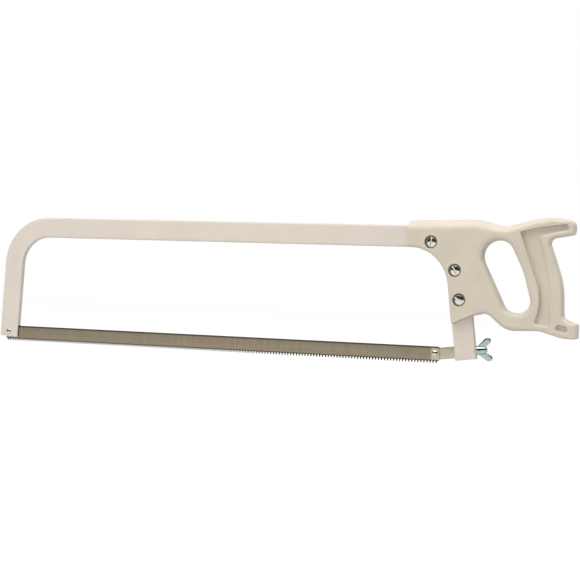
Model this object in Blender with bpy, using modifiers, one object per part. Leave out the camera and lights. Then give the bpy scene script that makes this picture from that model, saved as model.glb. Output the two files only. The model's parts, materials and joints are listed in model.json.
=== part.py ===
"""Butcher saw: a bent flat-tube bow, a moulded D-handle and a toothed blade drawn tight by a wing nut.

Metres, +Z up. +X runs from the nose of the bow to the handle and Y runs across the saw.
The origin lies under the middle of the saw, level with the tooth tips.
"""
import math

import bmesh
import bpy
from mathutils import Matrix, Vector

MM = 0.001
PARTS = "butcher_saw"

# Fits between pieces
CLEARANCE = 0.3 * MM          # beside whatever passes through a hole or a slot
SEAT_GAP = 0.2 * MM           # between faces that are clamped together
CUT_MARGIN = 2.0 * MM         # how far a cutter runs past the face it opens

# Blade
BLADE_SPAN = 558.8 * MM       # between the pin holes, 22 inches
BLADE_HEIGHT = 19.2 * MM      # tooth tips to back edge
BLADE_THICKNESS = 0.8 * MM
BLADE_MARGIN = 4.8 * MM       # pin hole centre to the end of the blade
PIN_HEIGHT = 11.3 * MM        # pin centres above the tooth tips
TOOTH_PITCH = 3.63 * MM       # 7 points to the inch
TOOTH_DEPTH = 2.2 * MM
TOOTH_RAKE = 0.35             # where the tip stands along its pitch

# Bow, a flat rectangular tube
TUBE_HEIGHT = 25.0 * MM
TUBE_WALL = 1.2 * MM
TUBE_CORNER = 1.8 * MM
THROAT = 113.5 * MM           # blade back to the underside of the top bar
FRONT_SPLAY = math.radians(2.5)
REAR_SPLAY = math.radians(7.5)
FRONT_BEND = 47.5 * MM        # bend radii on the tube's centreline
REAR_BEND = 60.0 * MM
LEG_END_HEIGHT = 5.5 * MM     # leg ends above the tooth tips
NOTCH_ABOVE_BLADE = 1.0 * MM  # top of the front leg's blade notch above the blade's back
NOTCH_ROOM = 1.4 * MM         # blade to the notch's sides

# Draw bolt and wing nut
PIN_TO_LEG = 35.6 * MM        # rear pin to the rear leg's centreline, along the bolt
BOLT_DROP = 0.8 * MM          # bolt axis under the rear pin's centre
STRAP_HEIGHT = 13.8 * MM
STRAP_THICKNESS = 2.0 * MM
STUD_DIAMETER = 5.0 * MM
STUD_IN_STRAP = 6.0 * MM      # length of stud forged into the strap
STUD_FREE = 1.8 * MM          # stud's root to the leg's wall with the blade slack
STUD_PROUD = 1.0 * MM         # stud end past the wing nut
STUD_CHAMFER = 0.6 * MM
THREAD_PITCH = 0.8 * MM
SLACK_TURNS = 4.75            # turns of the wing nut that let the blade go slack
NUT_LENGTH = 10.5 * MM
NUT_BASE_DIAMETER = 11.0 * MM
NUT_TOP_DIAMETER = 8.4 * MM
NUT_COLLAR = 2.0 * MM         # straight stretch at the base of the nut
WING_THICKNESS = 2.2 * MM
WING_REACH = 13.8 * MM        # wing tip from the bolt axis
WING_OVERHANG = 6.3 * MM      # wing tip past the end of the nut's barrel
WING_WIDTH = 6.2 * MM
WING_SIDE = 5.6 * MM          # length of the wing's outer side
WING_ROOT = 0.6 * MM          # lower edge of the wings above the nut's base
WING_TIP_RADIUS = 2.6 * MM
WING_HEEL_RADIUS = 1.8 * MM
BOLT_WASHER_DIAMETER = 10.0 * MM
BOLT_WASHER_THICKNESS = 1.0 * MM

# Blade pins
PIN_DIAMETER = 4.6 * MM
PIN_HEAD_RIM = 0.9 * MM       # heads wider than the pin by this on each side
PIN_DOME = 1.2 * MM           # height of the domed heads
REAR_PIN_PROUD = 1.4 * MM     # straight length of the rear pin in front of the blade
RIVET_HEAD = 0.9 * MM         # rear pin's flat head behind the strap

# Handle
HANDLE_THICKNESS = 22.0 * MM
HANDLE_EDGE = 5.0 * MM        # edge rounding
SADDLE_LENGTH = 53.0 * MM     # rear corner of the bow to the handle's front end
SADDLE_LIP = 0.6 * MM         # tube's inner face proud of the cheeks
POCKET_WEB = 8.0 * MM         # plastic between the pockets of the two cheeks
POCKET_DRAFT = 0.6 * MM       # how much the pocket narrows to its floor

# Handle screws, stations measured along the tube's centreline from the start of the rear bend
UPPER_SCREW = 28.0 * MM
MIDDLE_SCREW = 72.0 * MM
LOWER_SCREW = 106.0 * MM
UPPER_SLOT_TURN = math.radians(88)
MIDDLE_SLOT_TURN = math.radians(125)
LOWER_SLOT_TURN = math.radians(155)
SCREW_DIAMETER = 5.0 * MM
SCREW_HEAD_DIAMETER = 12.0 * MM
SCREW_HEAD_HEIGHT = 2.2 * MM
SCREW_HEAD_ROUND = 0.7 * MM
SCREW_SLOT_WIDTH = 1.5 * MM
SCREW_SLOT_DEPTH = 1.1 * MM
COUNTERBORE_FLOOR = 2.3 * MM  # plastic between the washers and the tube
WASHER_ROOM = 0.5 * MM        # counterbore wall to washer
WASHER_DIAMETER = 14.0 * MM
WASHER_THICKNESS = 0.8 * MM
NUT_ACROSS_FLATS = 8.0 * MM
NUT_THICKNESS = 2.7 * MM

# Facets
ARC_STEP = math.radians(15)
MIN_CORNER = 0.4 * MM         # tightest corner left when an outline is drawn in
EDGE_STEPS = 3
DOME_STEPS = 4
TURN_STEPS = 24
HEX_SIDES = 6
WELD = 0.001 * MM             # points closer than this are joined

# Handle outlines, as corners (x, z, radius) from the point where the bar and the rear leg would cross
GRIP_CORNERS = [
    (27.7 * MM, 20.6 * MM, 60 * MM),      # end of the flat top
    (58.6 * MM, 13.1 * MM, 20 * MM),      # dip over the fingers
    (106.5 * MM, 25.6 * MM, 55 * MM),     # crest of the upper horn
    (138.5 * MM, 20.9 * MM, 6 * MM),      # upper horn tip
    (138.1 * MM, 5.7 * MM, 3 * MM),
    (107.5 * MM, 0.2 * MM, 6.5 * MM),     # root of the upper horn
    (125.0 * MM, -48.3 * MM, 90 * MM),    # palm swell
    (127.4 * MM, -88.1 * MM, 7 * MM),     # root of the lower horn
    (144.6 * MM, -94.4 * MM, 2 * MM),     # lower horn tip
    (144.6 * MM, -110.7 * MM, 2.5 * MM),
    (126.7 * MM, -110.2 * MM, 30 * MM),
    (101.2 * MM, -103.0 * MM, 30 * MM),   # underside of the grip
    (63.6 * MM, -104.3 * MM, 14 * MM),
    (41.3 * MM, -85.2 * MM, 12 * MM),     # arch beside the rear leg
]
SADDLE_WALL = 5.6 * MM                    # plastic over the tube at the handle's front end
SADDLE_END_OUTER = -89.0 * MM             # lower end of the saddle on the leg's outer side
SADDLE_END_INNER = -99.6 * MM             # and on its inner side
SADDLE_END_CORNER = 2.0 * MM
FINGER_HOLE = [
    (22.9 * MM, -2.5 * MM, 18.2 * MM),
    (64.0 * MM, -2.5 * MM, 17.0 * MM),
    (82.8 * MM, -39.5 * MM, 100 * MM),
    (93.2 * MM, -83.8 * MM, 13.3 * MM),
    (63.4 * MM, -83.8 * MM, 14.0 * MM),
]
PALM_POCKET = [
    (76.5 * MM, 7.3 * MM, 1.5 * MM),
    (130.0 * MM, 17.0 * MM, 2.6 * MM),    # slot into the upper horn
    (130.2 * MM, 11.2 * MM, 2.6 * MM),
    (98.0 * MM, 3.4 * MM, 5 * MM),
    (114.2 * MM, -55.3 * MM, 120 * MM),   # palm rib
    (113.0 * MM, -98.4 * MM, 4 * MM),
    (96.9 * MM, -94.7 * MM, 1.5 * MM),
    (102.9 * MM, -65.3 * MM, 60 * MM),    # finger rib
]
HORN_POCKET = [
    (119.2 * MM, -94.6 * MM, 2.4 * MM),
    (134.0 * MM, -97.6 * MM, 2.4 * MM),
    (133.6 * MM, -103.2 * MM, 2.4 * MM),
    (118.8 * MM, -100.4 * MM, 2.4 * MM),
]

# Sizes and places that follow from those above
TUBE_DEPTH = STUD_DIAMETER + 2 * CLEARANCE + 2 * TUBE_WALL
PIN_HEAD_DIAMETER = PIN_DIAMETER + 2 * PIN_HEAD_RIM
COUNTERBORE_DIAMETER = WASHER_DIAMETER + 2 * WASHER_ROOM
BAR_LEVEL = BLADE_HEIGHT + THROAT + TUBE_HEIGHT / 2
BLADE_Y = -(CLEARANCE + BLADE_THICKNESS) / 2
STRAP_Y = (CLEARANCE + STRAP_THICKNESS) / 2
DRAW_TRAVEL = SLACK_TURNS * THREAD_PITCH
CHEEK = HANDLE_THICKNESS / 2
WASHER_SEAT = TUBE_DEPTH / 2 + CLEARANCE + COUNTERBORE_FLOOR
REAR_TURN = math.pi / 2 - REAR_SPLAY
REAR_TANGENT = REAR_BEND * math.tan(REAR_TURN / 2)
INNER_FACE = PIN_TO_LEG - TUBE_HEIGHT / 2 # rear leg's inner face, along the bolt
OUTER_FACE = PIN_TO_LEG + TUBE_HEIGHT / 2 # and its outer face
NUT_SEAT = OUTER_FACE + SEAT_GAP + BOLT_WASHER_THICKNESS + SEAT_GAP
SCREWS = {
    "upper": (UPPER_SCREW, UPPER_SLOT_TURN),
    "middle": (MIDDLE_SCREW, MIDDLE_SLOT_TURN),
    "lower": (LOWER_SCREW, LOWER_SLOT_TURN),
}
FACE_TURN = Matrix.Rotation(math.pi / 2, 4, "X")    # flat shapes stand up in the XZ plane
AXIS_TURN = Matrix.Rotation(math.pi / 2, 4, "Y")    # turned shapes lie along the bolt


def bow_points():
    """Return the bow's centreline: front end, front corner, rear corner, rear end, and the rear pin."""
    rear_pin = Vector((0.0, PIN_HEIGHT))
    front_pin = Vector((-BLADE_SPAN, PIN_HEIGHT))
    bolt = Vector((math.cos(REAR_SPLAY), math.sin(REAR_SPLAY)))
    on_rear_leg = rear_pin - Vector((0.0, BOLT_DROP)) + bolt * PIN_TO_LEG
    front_up = Vector((math.sin(FRONT_SPLAY), math.cos(FRONT_SPLAY)))
    rear_up = Vector((-math.sin(REAR_SPLAY), math.cos(REAR_SPLAY)))
    points = [
        front_pin + front_up * ((LEG_END_HEIGHT - front_pin.y) / front_up.y),
        front_pin + front_up * ((BAR_LEVEL - front_pin.y) / front_up.y),
        on_rear_leg + rear_up * ((BAR_LEVEL - on_rear_leg.y) / rear_up.y),
        on_rear_leg + rear_up * ((LEG_END_HEIGHT - on_rear_leg.y) / rear_up.y),
    ]
    nose = points[0].x - math.cos(FRONT_SPLAY) * TUBE_HEIGHT / 2
    tail = points[2].x + max(corner[0] for corner in GRIP_CORNERS)
    shift = Vector((-(nose + tail) / 2, 0.0))
    return [point + shift for point in points], rear_pin + shift


BOW, REAR_PIN = bow_points()
FRONT_PIN = REAR_PIN - Vector((BLADE_SPAN, 0.0))
BOLT_FRAME = (Matrix.Translation((REAR_PIN.x, 0.0, REAR_PIN.y - BOLT_DROP))
              @ Matrix.Rotation(-REAR_SPLAY, 4, "Y"))


def left_of(direction):
    """Return the unit normal on the left of a direction."""
    return Vector((-direction.y, direction.x)).normalized()


def mitre(before, here, after, distance):
    """Return the corner of an outline that lies a distance to the left of a corner."""
    first = left_of(here - before)
    second = left_of(after - here)
    return here + (first + second) * (distance / (1 + first.dot(second)))


def corner_arc(before, here, after, radius):
    """Return the points of an arc that rounds the corner at here."""
    arrive = (here - before).normalized()
    leave = (after - here).normalized()
    turn = math.atan2(arrive.x * leave.y - arrive.y * leave.x, arrive.dot(leave))
    start = here - arrive * (radius * math.tan(abs(turn) / 2))
    centre = start + left_of(arrive) * math.copysign(radius, turn)
    steps = max(2, math.ceil(abs(turn) / ARC_STEP))
    spoke = start - centre
    return [centre + Matrix.Rotation(turn * k / steps, 2) @ spoke for k in range(steps + 1)]


def rounded_loop(corners):
    """Return a closed outline whose corners (x, z, radius) are rounded by arcs."""
    places = [Vector(corner[:2]) for corner in corners]
    points = []
    for index, corner in enumerate(corners):
        after = places[(index + 1) % len(places)]
        points += corner_arc(places[index - 1], places[index], after, corner[2])
    return points


def drawn_in(corners, distance):
    """Return the corners of a clockwise outline drawn in by a distance, with its radii to match."""
    places = [Vector(corner[:2]) for corner in corners]
    result = []
    for index, (_, _, radius) in enumerate(corners):
        before = places[index - 1]
        here = places[index]
        after = places[(index + 1) % len(places)]
        moved = mitre(before, here, after, -distance)
        inward = left_of(here - before).dot(after - here) < 0
        fitted = max(radius - distance, MIN_CORNER) if inward else radius + distance
        result.append((moved.x, moved.y, fitted))
    return result


def circle(centre, radius, steps=TURN_STEPS):
    """Return a circle's points."""
    angles = [2 * math.pi * k / steps for k in range(steps)]
    return [centre + Vector((math.cos(a), math.sin(a))) * radius for a in angles]


def bow_edge(offset, extend=0.0):
    """Return a line beside the bow's centreline, offset to its outer side, from front end to rear end."""
    front, nose, heel, rear = BOW
    up = (nose - front).normalized()
    down = (rear - heel).normalized()
    nose_corner = mitre(front, nose, heel, offset)
    heel_corner = mitre(nose, heel, rear, offset)
    first = front + left_of(up) * offset - up * extend
    last = rear + left_of(down) * offset + down * extend
    points = [first]
    points += corner_arc(first, nose_corner, heel_corner, FRONT_BEND + offset)
    points += corner_arc(nose_corner, heel_corner, last, REAR_BEND + offset)
    points.append(last)
    return points


def bow_band(outer, inner, extend=0.0):
    """Return the closed outline between two lines beside the bow's centreline."""
    return bow_edge(outer, extend) + bow_edge(inner, extend)[::-1]


def bow_station(distance):
    """Return the centreline point at a distance past the start of the rear bend."""
    _, _, heel, rear = BOW
    start = heel - Vector((REAR_TANGENT, 0.0))
    along = min(distance / REAR_BEND, REAR_TURN)
    centre = start - Vector((0.0, REAR_BEND))
    on_bend = centre + Vector((math.sin(along), math.cos(along))) * REAR_BEND
    return on_bend + (rear - heel).normalized() * (distance - along * REAR_BEND)


def from_heel(corners):
    """Return corners measured from the bow's rear corner as places on the saw."""
    return [(x + BOW[2].x, z + BOW[2].y, radius) for x, z, radius in corners]


def new_collection(name, parent):
    """Return a new collection inside its parent."""
    group = bpy.data.collections.new(name)
    parent.children.link(group)
    return group


def paint(obj, name, colour, roughness, metallic):
    """Give an object its own material."""
    material = bpy.data.materials.new(name)
    material.use_nodes = True
    shader = material.node_tree.nodes["Principled BSDF"]
    shader.inputs["Base Color"].default_value = (*colour, 1.0)
    shader.inputs["Roughness"].default_value = roughness
    shader.inputs["Metallic"].default_value = metallic
    obj.data.materials.append(material)


def mesh_object(name, group, frame, build):
    """Return a mesh object whose bmesh is filled by build."""
    mesh = bpy.data.meshes.new(name)
    shape = bmesh.new()
    build(shape)
    shape.to_mesh(mesh)
    shape.free()
    obj = bpy.data.objects.new(name, mesh)
    obj.matrix_world = frame
    group.objects.link(obj)
    if group.name != PARTS:
        obj.hide_render = True
        obj.display_type = "WIRE"
    return obj


def flat_plate(name, group, loops, thickness, middle_y=0.0, frame=Matrix()):
    """Return a plate of an outline in the XZ plane, later loops being holes, extruded across Y."""
    curve = bpy.data.curves.new(name, "CURVE")
    curve.dimensions = "2D"
    curve.fill_mode = "BOTH"
    curve.extrude = thickness / 2
    for loop in loops:
        spline = curve.splines.new("POLY")
        spline.points.add(len(loop) - 1)
        spline.use_cyclic_u = True
        for point, place in zip(spline.points, loop):
            point.co = (place[0], place[1], 0.0, 1.0)
    outline = bpy.data.objects.new(name + "_outline", curve)
    bpy.context.scene.collection.objects.link(outline)
    scene_state = bpy.context.evaluated_depsgraph_get()
    solid = bpy.data.meshes.new_from_object(outline.evaluated_get(scene_state))
    bpy.data.objects.remove(outline)

    def build(shape):
        shape.from_mesh(solid)
        bmesh.ops.remove_doubles(shape, verts=shape.verts, dist=WELD)

    standing = frame @ Matrix.Translation((0.0, middle_y, 0.0)) @ FACE_TURN
    return mesh_object(name, group, standing, build)


def loft(name, group, layers):
    """Return a closed solid through outlines in the XZ plane, given as (y, points) from front to back."""
    def build(shape):
        rings = [[shape.verts.new((p[0], y, p[1])) for p in points] for y, points in layers]
        count = len(rings[0])
        for near, far in zip(rings, rings[1:]):
            for k in range(count):
                step = (k + 1) % count
                shape.faces.new((near[k], near[step], far[step], far[k]))
        shape.faces.new(rings[0][::-1])
        shape.faces.new(rings[-1])
        bmesh.ops.recalc_face_normals(shape, faces=shape.faces)

    return mesh_object(name, group, Matrix(), build)


def turned(name, group, profile, frame, hollow=False):
    """Return a shape turned about its Z axis from a profile (radius, height), listed top to bottom."""
    def build(shape):
        verts = [shape.verts.new((radius, 0.0, height)) for radius, height in profile]
        for first, second in zip(verts, verts[1:]):
            shape.edges.new((first, second))
        if hollow:
            shape.edges.new((verts[-1], verts[0]))

    obj = mesh_object(name, group, frame, build)
    screw = obj.modifiers.new("turn", "SCREW")
    screw.steps = TURN_STEPS
    screw.render_steps = TURN_STEPS
    screw.use_merge_vertices = True
    screw.merge_threshold = WELD
    return obj


def dome(radius, height, base):
    """Return a dome's profile from its crown down to its rim, standing on base."""
    angles = [math.pi / 2 * k / DOME_STEPS for k in range(DOME_STEPS + 1)]
    return [(radius * math.sin(a), base + height * math.cos(a)) for a in angles]


def boolean(target, tools, operation):
    """Cut a collection of tools from a target in one go, or join them on."""
    modifier = target.modifiers.new(tools.name, "BOOLEAN")
    modifier.operation = operation
    modifier.solver = "EXACT"
    modifier.operand_type = "COLLECTION"
    modifier.collection = tools


def hang_on(child, parent):
    """Parent a piece without moving it."""
    bpy.context.view_layer.update()
    child.parent = parent
    child.matrix_parent_inverse = parent.matrix_world.inverted()


def across_frame(point):
    """Return the frame of a piece that lies across the saw at a point, its Z axis towards -Y."""
    return Matrix.Translation((point.x, 0.0, point.y)) @ FACE_TURN


def along_bolt(distance):
    """Return the frame of a piece turned about the bolt axis, at a distance from the rear pin."""
    return BOLT_FRAME @ Matrix.Translation((distance, 0.0, 0.0)) @ AXIS_TURN


def ring(inner, outer, low, high):
    """Return a ring's profile, for a washer or a drilled sleeve."""
    return [(inner, high), (outer, high), (outer, low), (inner, low)]


def rod(radius, low, high):
    """Return a plain rod's profile."""
    return [(0.0, high), (radius, high), (radius, low), (0.0, low)]


def box_loop(low_x, high_x, low_z, high_z):
    """Return a rectangle's corners."""
    return [(low_x, low_z), (high_x, low_z), (high_x, high_z), (low_x, high_z)]


def make_bow():
    """Bend the flat tube, hollow it, and open it for the blade, the bolt, the pin and the screws."""
    half = TUBE_HEIGHT / 2
    side = TUBE_DEPTH / 2
    angles = [math.pi / 2 * k / EDGE_STEPS for k in range(EDGE_STEPS + 1)]
    section = [(-side + TUBE_CORNER * (1 - math.sin(a)), TUBE_CORNER * (1 - math.cos(a)))
               for a in reversed(angles)]
    section += [(-y, inset) for y, inset in reversed(section)]
    bow = loft("bow_frame", parts, [(y, bow_band(half - d, d - half)) for y, d in section])
    paint(bow, "painted_tube", (0.72, 0.65, 0.59), 0.4, 0.0)

    bore = half - TUBE_WALL
    inside = TUBE_DEPTH - 2 * TUBE_WALL
    tools = new_collection("bow_openings", cutters)
    flat_plate("tube_bore", tools, [bow_band(bore, -bore, CUT_MARGIN)], inside)

    up = (BOW[1] - BOW[0]).normalized()
    right = -left_of(up)
    notch_top = (BLADE_HEIGHT + NOTCH_ABOVE_BLADE - LEG_END_HEIGHT) / up.y
    notch = [BOW[0] + right * reach + up * height for reach, height in
             box_loop(bore - CUT_MARGIN, half + CUT_MARGIN, -CUT_MARGIN, notch_top)]
    flat_plate("blade_notch", tools, [notch], BLADE_THICKNESS + 2 * NOTCH_ROOM, BLADE_Y)

    strap_half = STRAP_HEIGHT / 2 + CLEARANCE
    slot_width = STRAP_THICKNESS + 2 * CLEARANCE
    slot_end = INNER_FACE + TUBE_WALL + CUT_MARGIN
    slot = box_loop(INNER_FACE - CUT_MARGIN, slot_end, -strap_half, strap_half)
    flat_plate("strap_slot", tools, [slot], slot_width, STRAP_Y, BOLT_FRAME)
    stud_hole = rod(STUD_DIAMETER / 2 + CLEARANCE, bore - CUT_MARGIN, half + CUT_MARGIN)
    turned("stud_hole", tools, stud_hole, along_bolt(PIN_TO_LEG))

    through = TUBE_DEPTH / 2 + CUT_MARGIN
    pin_hole = rod(PIN_DIAMETER / 2 + CLEARANCE, -through, through)
    turned("front_pin_hole", tools, pin_hole, across_frame(FRONT_PIN))
    screw_hole = rod(SCREW_DIAMETER / 2 + CLEARANCE, -through, through)
    for place, (distance, _) in SCREWS.items():
        frame = across_frame(bow_station(distance))
        turned("tube_screw_hole_" + place, tools, screw_hole, frame)
    boolean(bow, tools, "DIFFERENCE")


def handle_corners(front_end):
    """Return the handle's outer outline, clockwise from its top front corner."""
    lip = TUBE_HEIGHT / 2 - SADDLE_LIP
    _, nose, heel, rear = BOW
    leg = (rear - heel).normalized()
    top = TUBE_HEIGHT / 2 + SADDLE_WALL

    def beside_leg(offset, drop):
        on_leg = heel + left_of(leg) * offset
        return on_leg + leg * ((heel.y + drop - on_leg.y) / leg.y)

    outer_end = beside_leg(TUBE_HEIGHT / 2, SADDLE_END_OUTER)
    inner_end = beside_leg(-lip, SADDLE_END_INNER)
    crook = mitre(nose, heel, rear, -lip)
    corners = from_heel([(front_end, top, SADDLE_END_CORNER)] + GRIP_CORNERS)
    corners.append((outer_end.x, outer_end.y, SADDLE_END_CORNER))
    corners.append((inner_end.x, inner_end.y, SADDLE_END_CORNER))
    corners.append((crook.x, crook.y, REAR_BEND - lip))
    corners += from_heel([(front_end, -lip, SADDLE_END_CORNER)])
    return corners


def edge_round(radius):
    """Return the steps (depth below the face, inset) of a rounded edge, from the face down."""
    angles = [math.pi / 2 * k / EDGE_STEPS for k in range(EDGE_STEPS + 1)]
    return [(radius * (1 - math.cos(a)), radius * (1 - math.sin(a))) for a in angles]


def make_handle():
    """Mould the handle: rounded slab, finger hole, grip pockets, tube channel and counterbores."""
    front_end = -max(SADDLE_LENGTH, REAR_TANGENT) - HANDLE_EDGE - CUT_MARGIN
    corners = handle_corners(front_end)
    rounding = edge_round(HANDLE_EDGE)
    front_half = [(-CHEEK + depth, rounded_loop(drawn_in(corners, inset))) for depth, inset in rounding]
    back_half = [(-y, points) for y, points in reversed(front_half)]
    handle = loft("handle", parts, front_half + back_half)
    paint(handle, "moulded_plastic", (0.66, 0.57, 0.46), 0.45, 0.0)

    hole = from_heel(FINGER_HOLE)
    flare = [(-CHEEK - CUT_MARGIN, HANDLE_EDGE)]
    flare += [(-CHEEK + depth, inset) for depth, inset in rounding]
    front_half = [(y, rounded_loop(drawn_in(hole, -inset))) for y, inset in flare]
    back_half = [(-y, points) for y, points in reversed(front_half)]
    tools = new_collection("handle_openings", cutters)
    loft("finger_hole", tools, front_half + back_half)

    for name, corners in (("palm_pocket", PALM_POCKET), ("horn_pocket", HORN_POCKET)):
        pocket = from_heel(corners)
        mouth = rounded_loop(pocket)
        floor = rounded_loop(drawn_in(pocket, POCKET_DRAFT))
        levels = [(CHEEK + CUT_MARGIN, mouth), (CHEEK, mouth), (POCKET_WEB / 2, floor)]
        for side, cheek in ((-1, "front_"), (1, "back_")):
            loft(cheek + name, tools, [(side * level, points) for level, points in levels])

    reach = TUBE_HEIGHT / 2 + CLEARANCE
    open_side = -(TUBE_HEIGHT / 2 + HANDLE_EDGE)
    channel = bow_band(reach, open_side, CUT_MARGIN)
    flat_plate("tube_channel", tools, [channel], TUBE_DEPTH + 2 * CLEARANCE)

    heel = BOW[2]
    trim_start = heel.x + front_end - CUT_MARGIN
    saddle_end = heel.x - SADDLE_LENGTH
    trim = box_loop(trim_start, saddle_end, heel.y - TUBE_HEIGHT, heel.y + TUBE_HEIGHT)
    flat_plate("saddle_trim", tools, [trim], HANDLE_THICKNESS + 2 * CUT_MARGIN)

    shank = SCREW_DIAMETER / 2 + CLEARANCE
    recess = COUNTERBORE_DIAMETER / 2
    face = CHEEK + CUT_MARGIN
    stepped = [(0.0, face), (recess, face), (recess, WASHER_SEAT), (shank, WASHER_SEAT)]
    stepped += [(radius, -height) for radius, height in reversed(stepped)]
    for place, (distance, _) in SCREWS.items():
        frame = across_frame(bow_station(distance))
        turned("counterbore_" + place, tools, stepped, frame)
    boolean(handle, tools, "DIFFERENCE")


def make_handle_screw(place):
    """Make one slotted screw through the handle and the tube, with its nut and two washers."""
    distance, slot_turn = SCREWS[place]
    station = bow_station(distance)
    frame = across_frame(station)
    washer_low = WASHER_SEAT + SEAT_GAP
    washer_high = washer_low + WASHER_THICKNESS
    seat = washer_high + SEAT_GAP
    head_top = seat + SCREW_HEAD_HEIGHT
    nut_face = -(seat + NUT_THICKNESS)
    head = SCREW_HEAD_DIAMETER / 2
    shank = SCREW_DIAMETER / 2
    bore = shank + CLEARANCE

    profile = [(0.0, head_top), (head - SCREW_HEAD_ROUND, head_top), (head, head_top - SCREW_HEAD_ROUND),
               (head, seat), (shank, seat), (shank, nut_face), (0.0, nut_face)]
    screw = turned("handle_screw_" + place, parts, profile, frame)
    length = head + CUT_MARGIN
    slot = box_loop(-length, length, -SCREW_SLOT_WIDTH / 2, SCREW_SLOT_WIDTH / 2)
    slot_frame = Matrix.Translation((station.x, 0.0, station.y)) @ Matrix.Rotation(-slot_turn, 4, "Y")
    slot_height = SCREW_SLOT_DEPTH + CUT_MARGIN
    slot_middle = -(head_top - SCREW_SLOT_DEPTH + slot_height / 2)
    tools = new_collection("screw_slot_" + place, cutters)
    flat_plate("slot_cut_" + place, tools, [slot], slot_height, slot_middle, slot_frame)
    boolean(screw, tools, "DIFFERENCE")

    washer = ring(bore, WASHER_DIAMETER / 2, washer_low, washer_high)
    head_washer = turned("handle_screw_washer_" + place, parts, washer, frame, hollow=True)
    washer = ring(bore, WASHER_DIAMETER / 2, -washer_high, -washer_low)
    nut_washer = turned("handle_nut_washer_" + place, parts, washer, frame, hollow=True)

    corner = NUT_ACROSS_FLATS / 2 / math.cos(math.pi / HEX_SIDES)
    hexagon = [circle(station, corner, HEX_SIDES), circle(station, bore)]
    nut = flat_plate("handle_nut_" + place, parts, hexagon, NUT_THICKNESS, seat + NUT_THICKNESS / 2)
    for piece in (screw, head_washer, nut_washer, nut):
        paint(piece, "zinc_plate", (0.62, 0.64, 0.62), 0.25, 1.0)


def make_blade():
    """Punch the blade: straight back, points along its lower edge, a round hole and a long hole."""
    front_end = FRONT_PIN.x - BLADE_MARGIN
    rear_end = REAR_PIN.x + BLADE_MARGIN
    count = int((rear_end - front_end) / TOOTH_PITCH)
    spare = (rear_end - front_end - count * TOOTH_PITCH) / 2
    outline = box_loop(front_end, rear_end, TOOTH_DEPTH, BLADE_HEIGHT)[1:]
    outline.append((front_end, TOOTH_DEPTH))
    for k in range(count):
        root = front_end + spare + k * TOOTH_PITCH
        outline.append((root, TOOTH_DEPTH))
        outline.append((root + TOOTH_RAKE * TOOTH_PITCH, 0.0))
    outline.append((rear_end - spare, TOOTH_DEPTH))

    drop = DRAW_TRAVEL * math.sin(REAR_SPLAY)
    hole = PIN_DIAMETER / 2 + CLEARANCE
    tall = hole + drop
    slide = DRAW_TRAVEL * math.cos(REAR_SPLAY)
    long_hole = rounded_loop([
        (FRONT_PIN.x - hole, FRONT_PIN.y + tall, hole),
        (FRONT_PIN.x + hole + slide, FRONT_PIN.y + tall, hole),
        (FRONT_PIN.x + hole + slide, FRONT_PIN.y - tall, hole),
        (FRONT_PIN.x - hole, FRONT_PIN.y - tall, hole),
    ])
    blade = flat_plate("blade", parts, [outline, circle(REAR_PIN, hole), long_hole], BLADE_THICKNESS, BLADE_Y)
    paint(blade, "blade_steel", (0.33, 0.28, 0.22), 0.4, 1.0)
    return blade


def make_front_pin():
    """Turn the rivet pin across the front leg, domed on both sides."""
    face = TUBE_DEPTH / 2 + SEAT_GAP
    half = dome(PIN_HEAD_DIAMETER / 2, PIN_DOME, face) + [(PIN_DIAMETER / 2, face)]
    profile = half + [(radius, -height) for radius, height in reversed(half)]
    pin = turned("front_blade_pin", parts, profile, across_frame(FRONT_PIN))
    paint(pin, "rivet_steel", (0.60, 0.60, 0.58), 0.25, 1.0)


def make_rear_pin():
    """Turn the domed pin that the blade hooks on, riveted behind the strap."""
    shank = PIN_DIAMETER / 2
    rim = BLADE_THICKNESS + CLEARANCE / 2 + REAR_PIN_PROUD
    behind = -(STRAP_Y + STRAP_THICKNESS / 2 + SEAT_GAP)
    head = PIN_HEAD_DIAMETER / 2
    profile = dome(shank, PIN_DOME, rim)
    profile += [(shank, behind), (head, behind), (head, behind - RIVET_HEAD), (0.0, behind - RIVET_HEAD)]
    pin = turned("rear_blade_pin", parts, profile, across_frame(REAR_PIN))
    paint(pin, "pin_steel", (0.60, 0.60, 0.58), 0.25, 1.0)
    return pin


def make_draw_bolt():
    """Forge the draw bolt: a flat strap with a round front end, and the stud that leaves it in the leg."""
    half = STRAP_HEIGHT / 2
    stud_start = INNER_FACE + TUBE_WALL + DRAW_TRAVEL + STUD_FREE
    strap_end = stud_start + STUD_IN_STRAP
    outline = rounded_loop([(-half, half, half), (strap_end, half, MIN_CORNER),
                            (strap_end, -half, MIN_CORNER), (-half, -half, half)])
    pin_place = Vector((math.sin(REAR_SPLAY), math.cos(REAR_SPLAY))) * BOLT_DROP
    pin_hole = circle(pin_place, PIN_DIAMETER / 2 + CLEARANCE)
    bolt = flat_plate("draw_bolt", parts, [outline, pin_hole], STRAP_THICKNESS, STRAP_Y, BOLT_FRAME)
    radius = STUD_DIAMETER / 2
    stud_end = NUT_SEAT + NUT_LENGTH + STUD_PROUD
    profile = [(0.0, stud_end), (radius - STUD_CHAMFER, stud_end), (radius, stud_end - STUD_CHAMFER),
               (radius, stud_start), (0.0, stud_start)]
    tools = new_collection("bolt_stud", cutters)
    turned("stud", tools, profile, along_bolt(0.0))
    boolean(bolt, tools, "UNION")
    paint(bolt, "strap_steel", (0.45, 0.41, 0.31), 0.4, 1.0)
    return bolt


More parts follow.
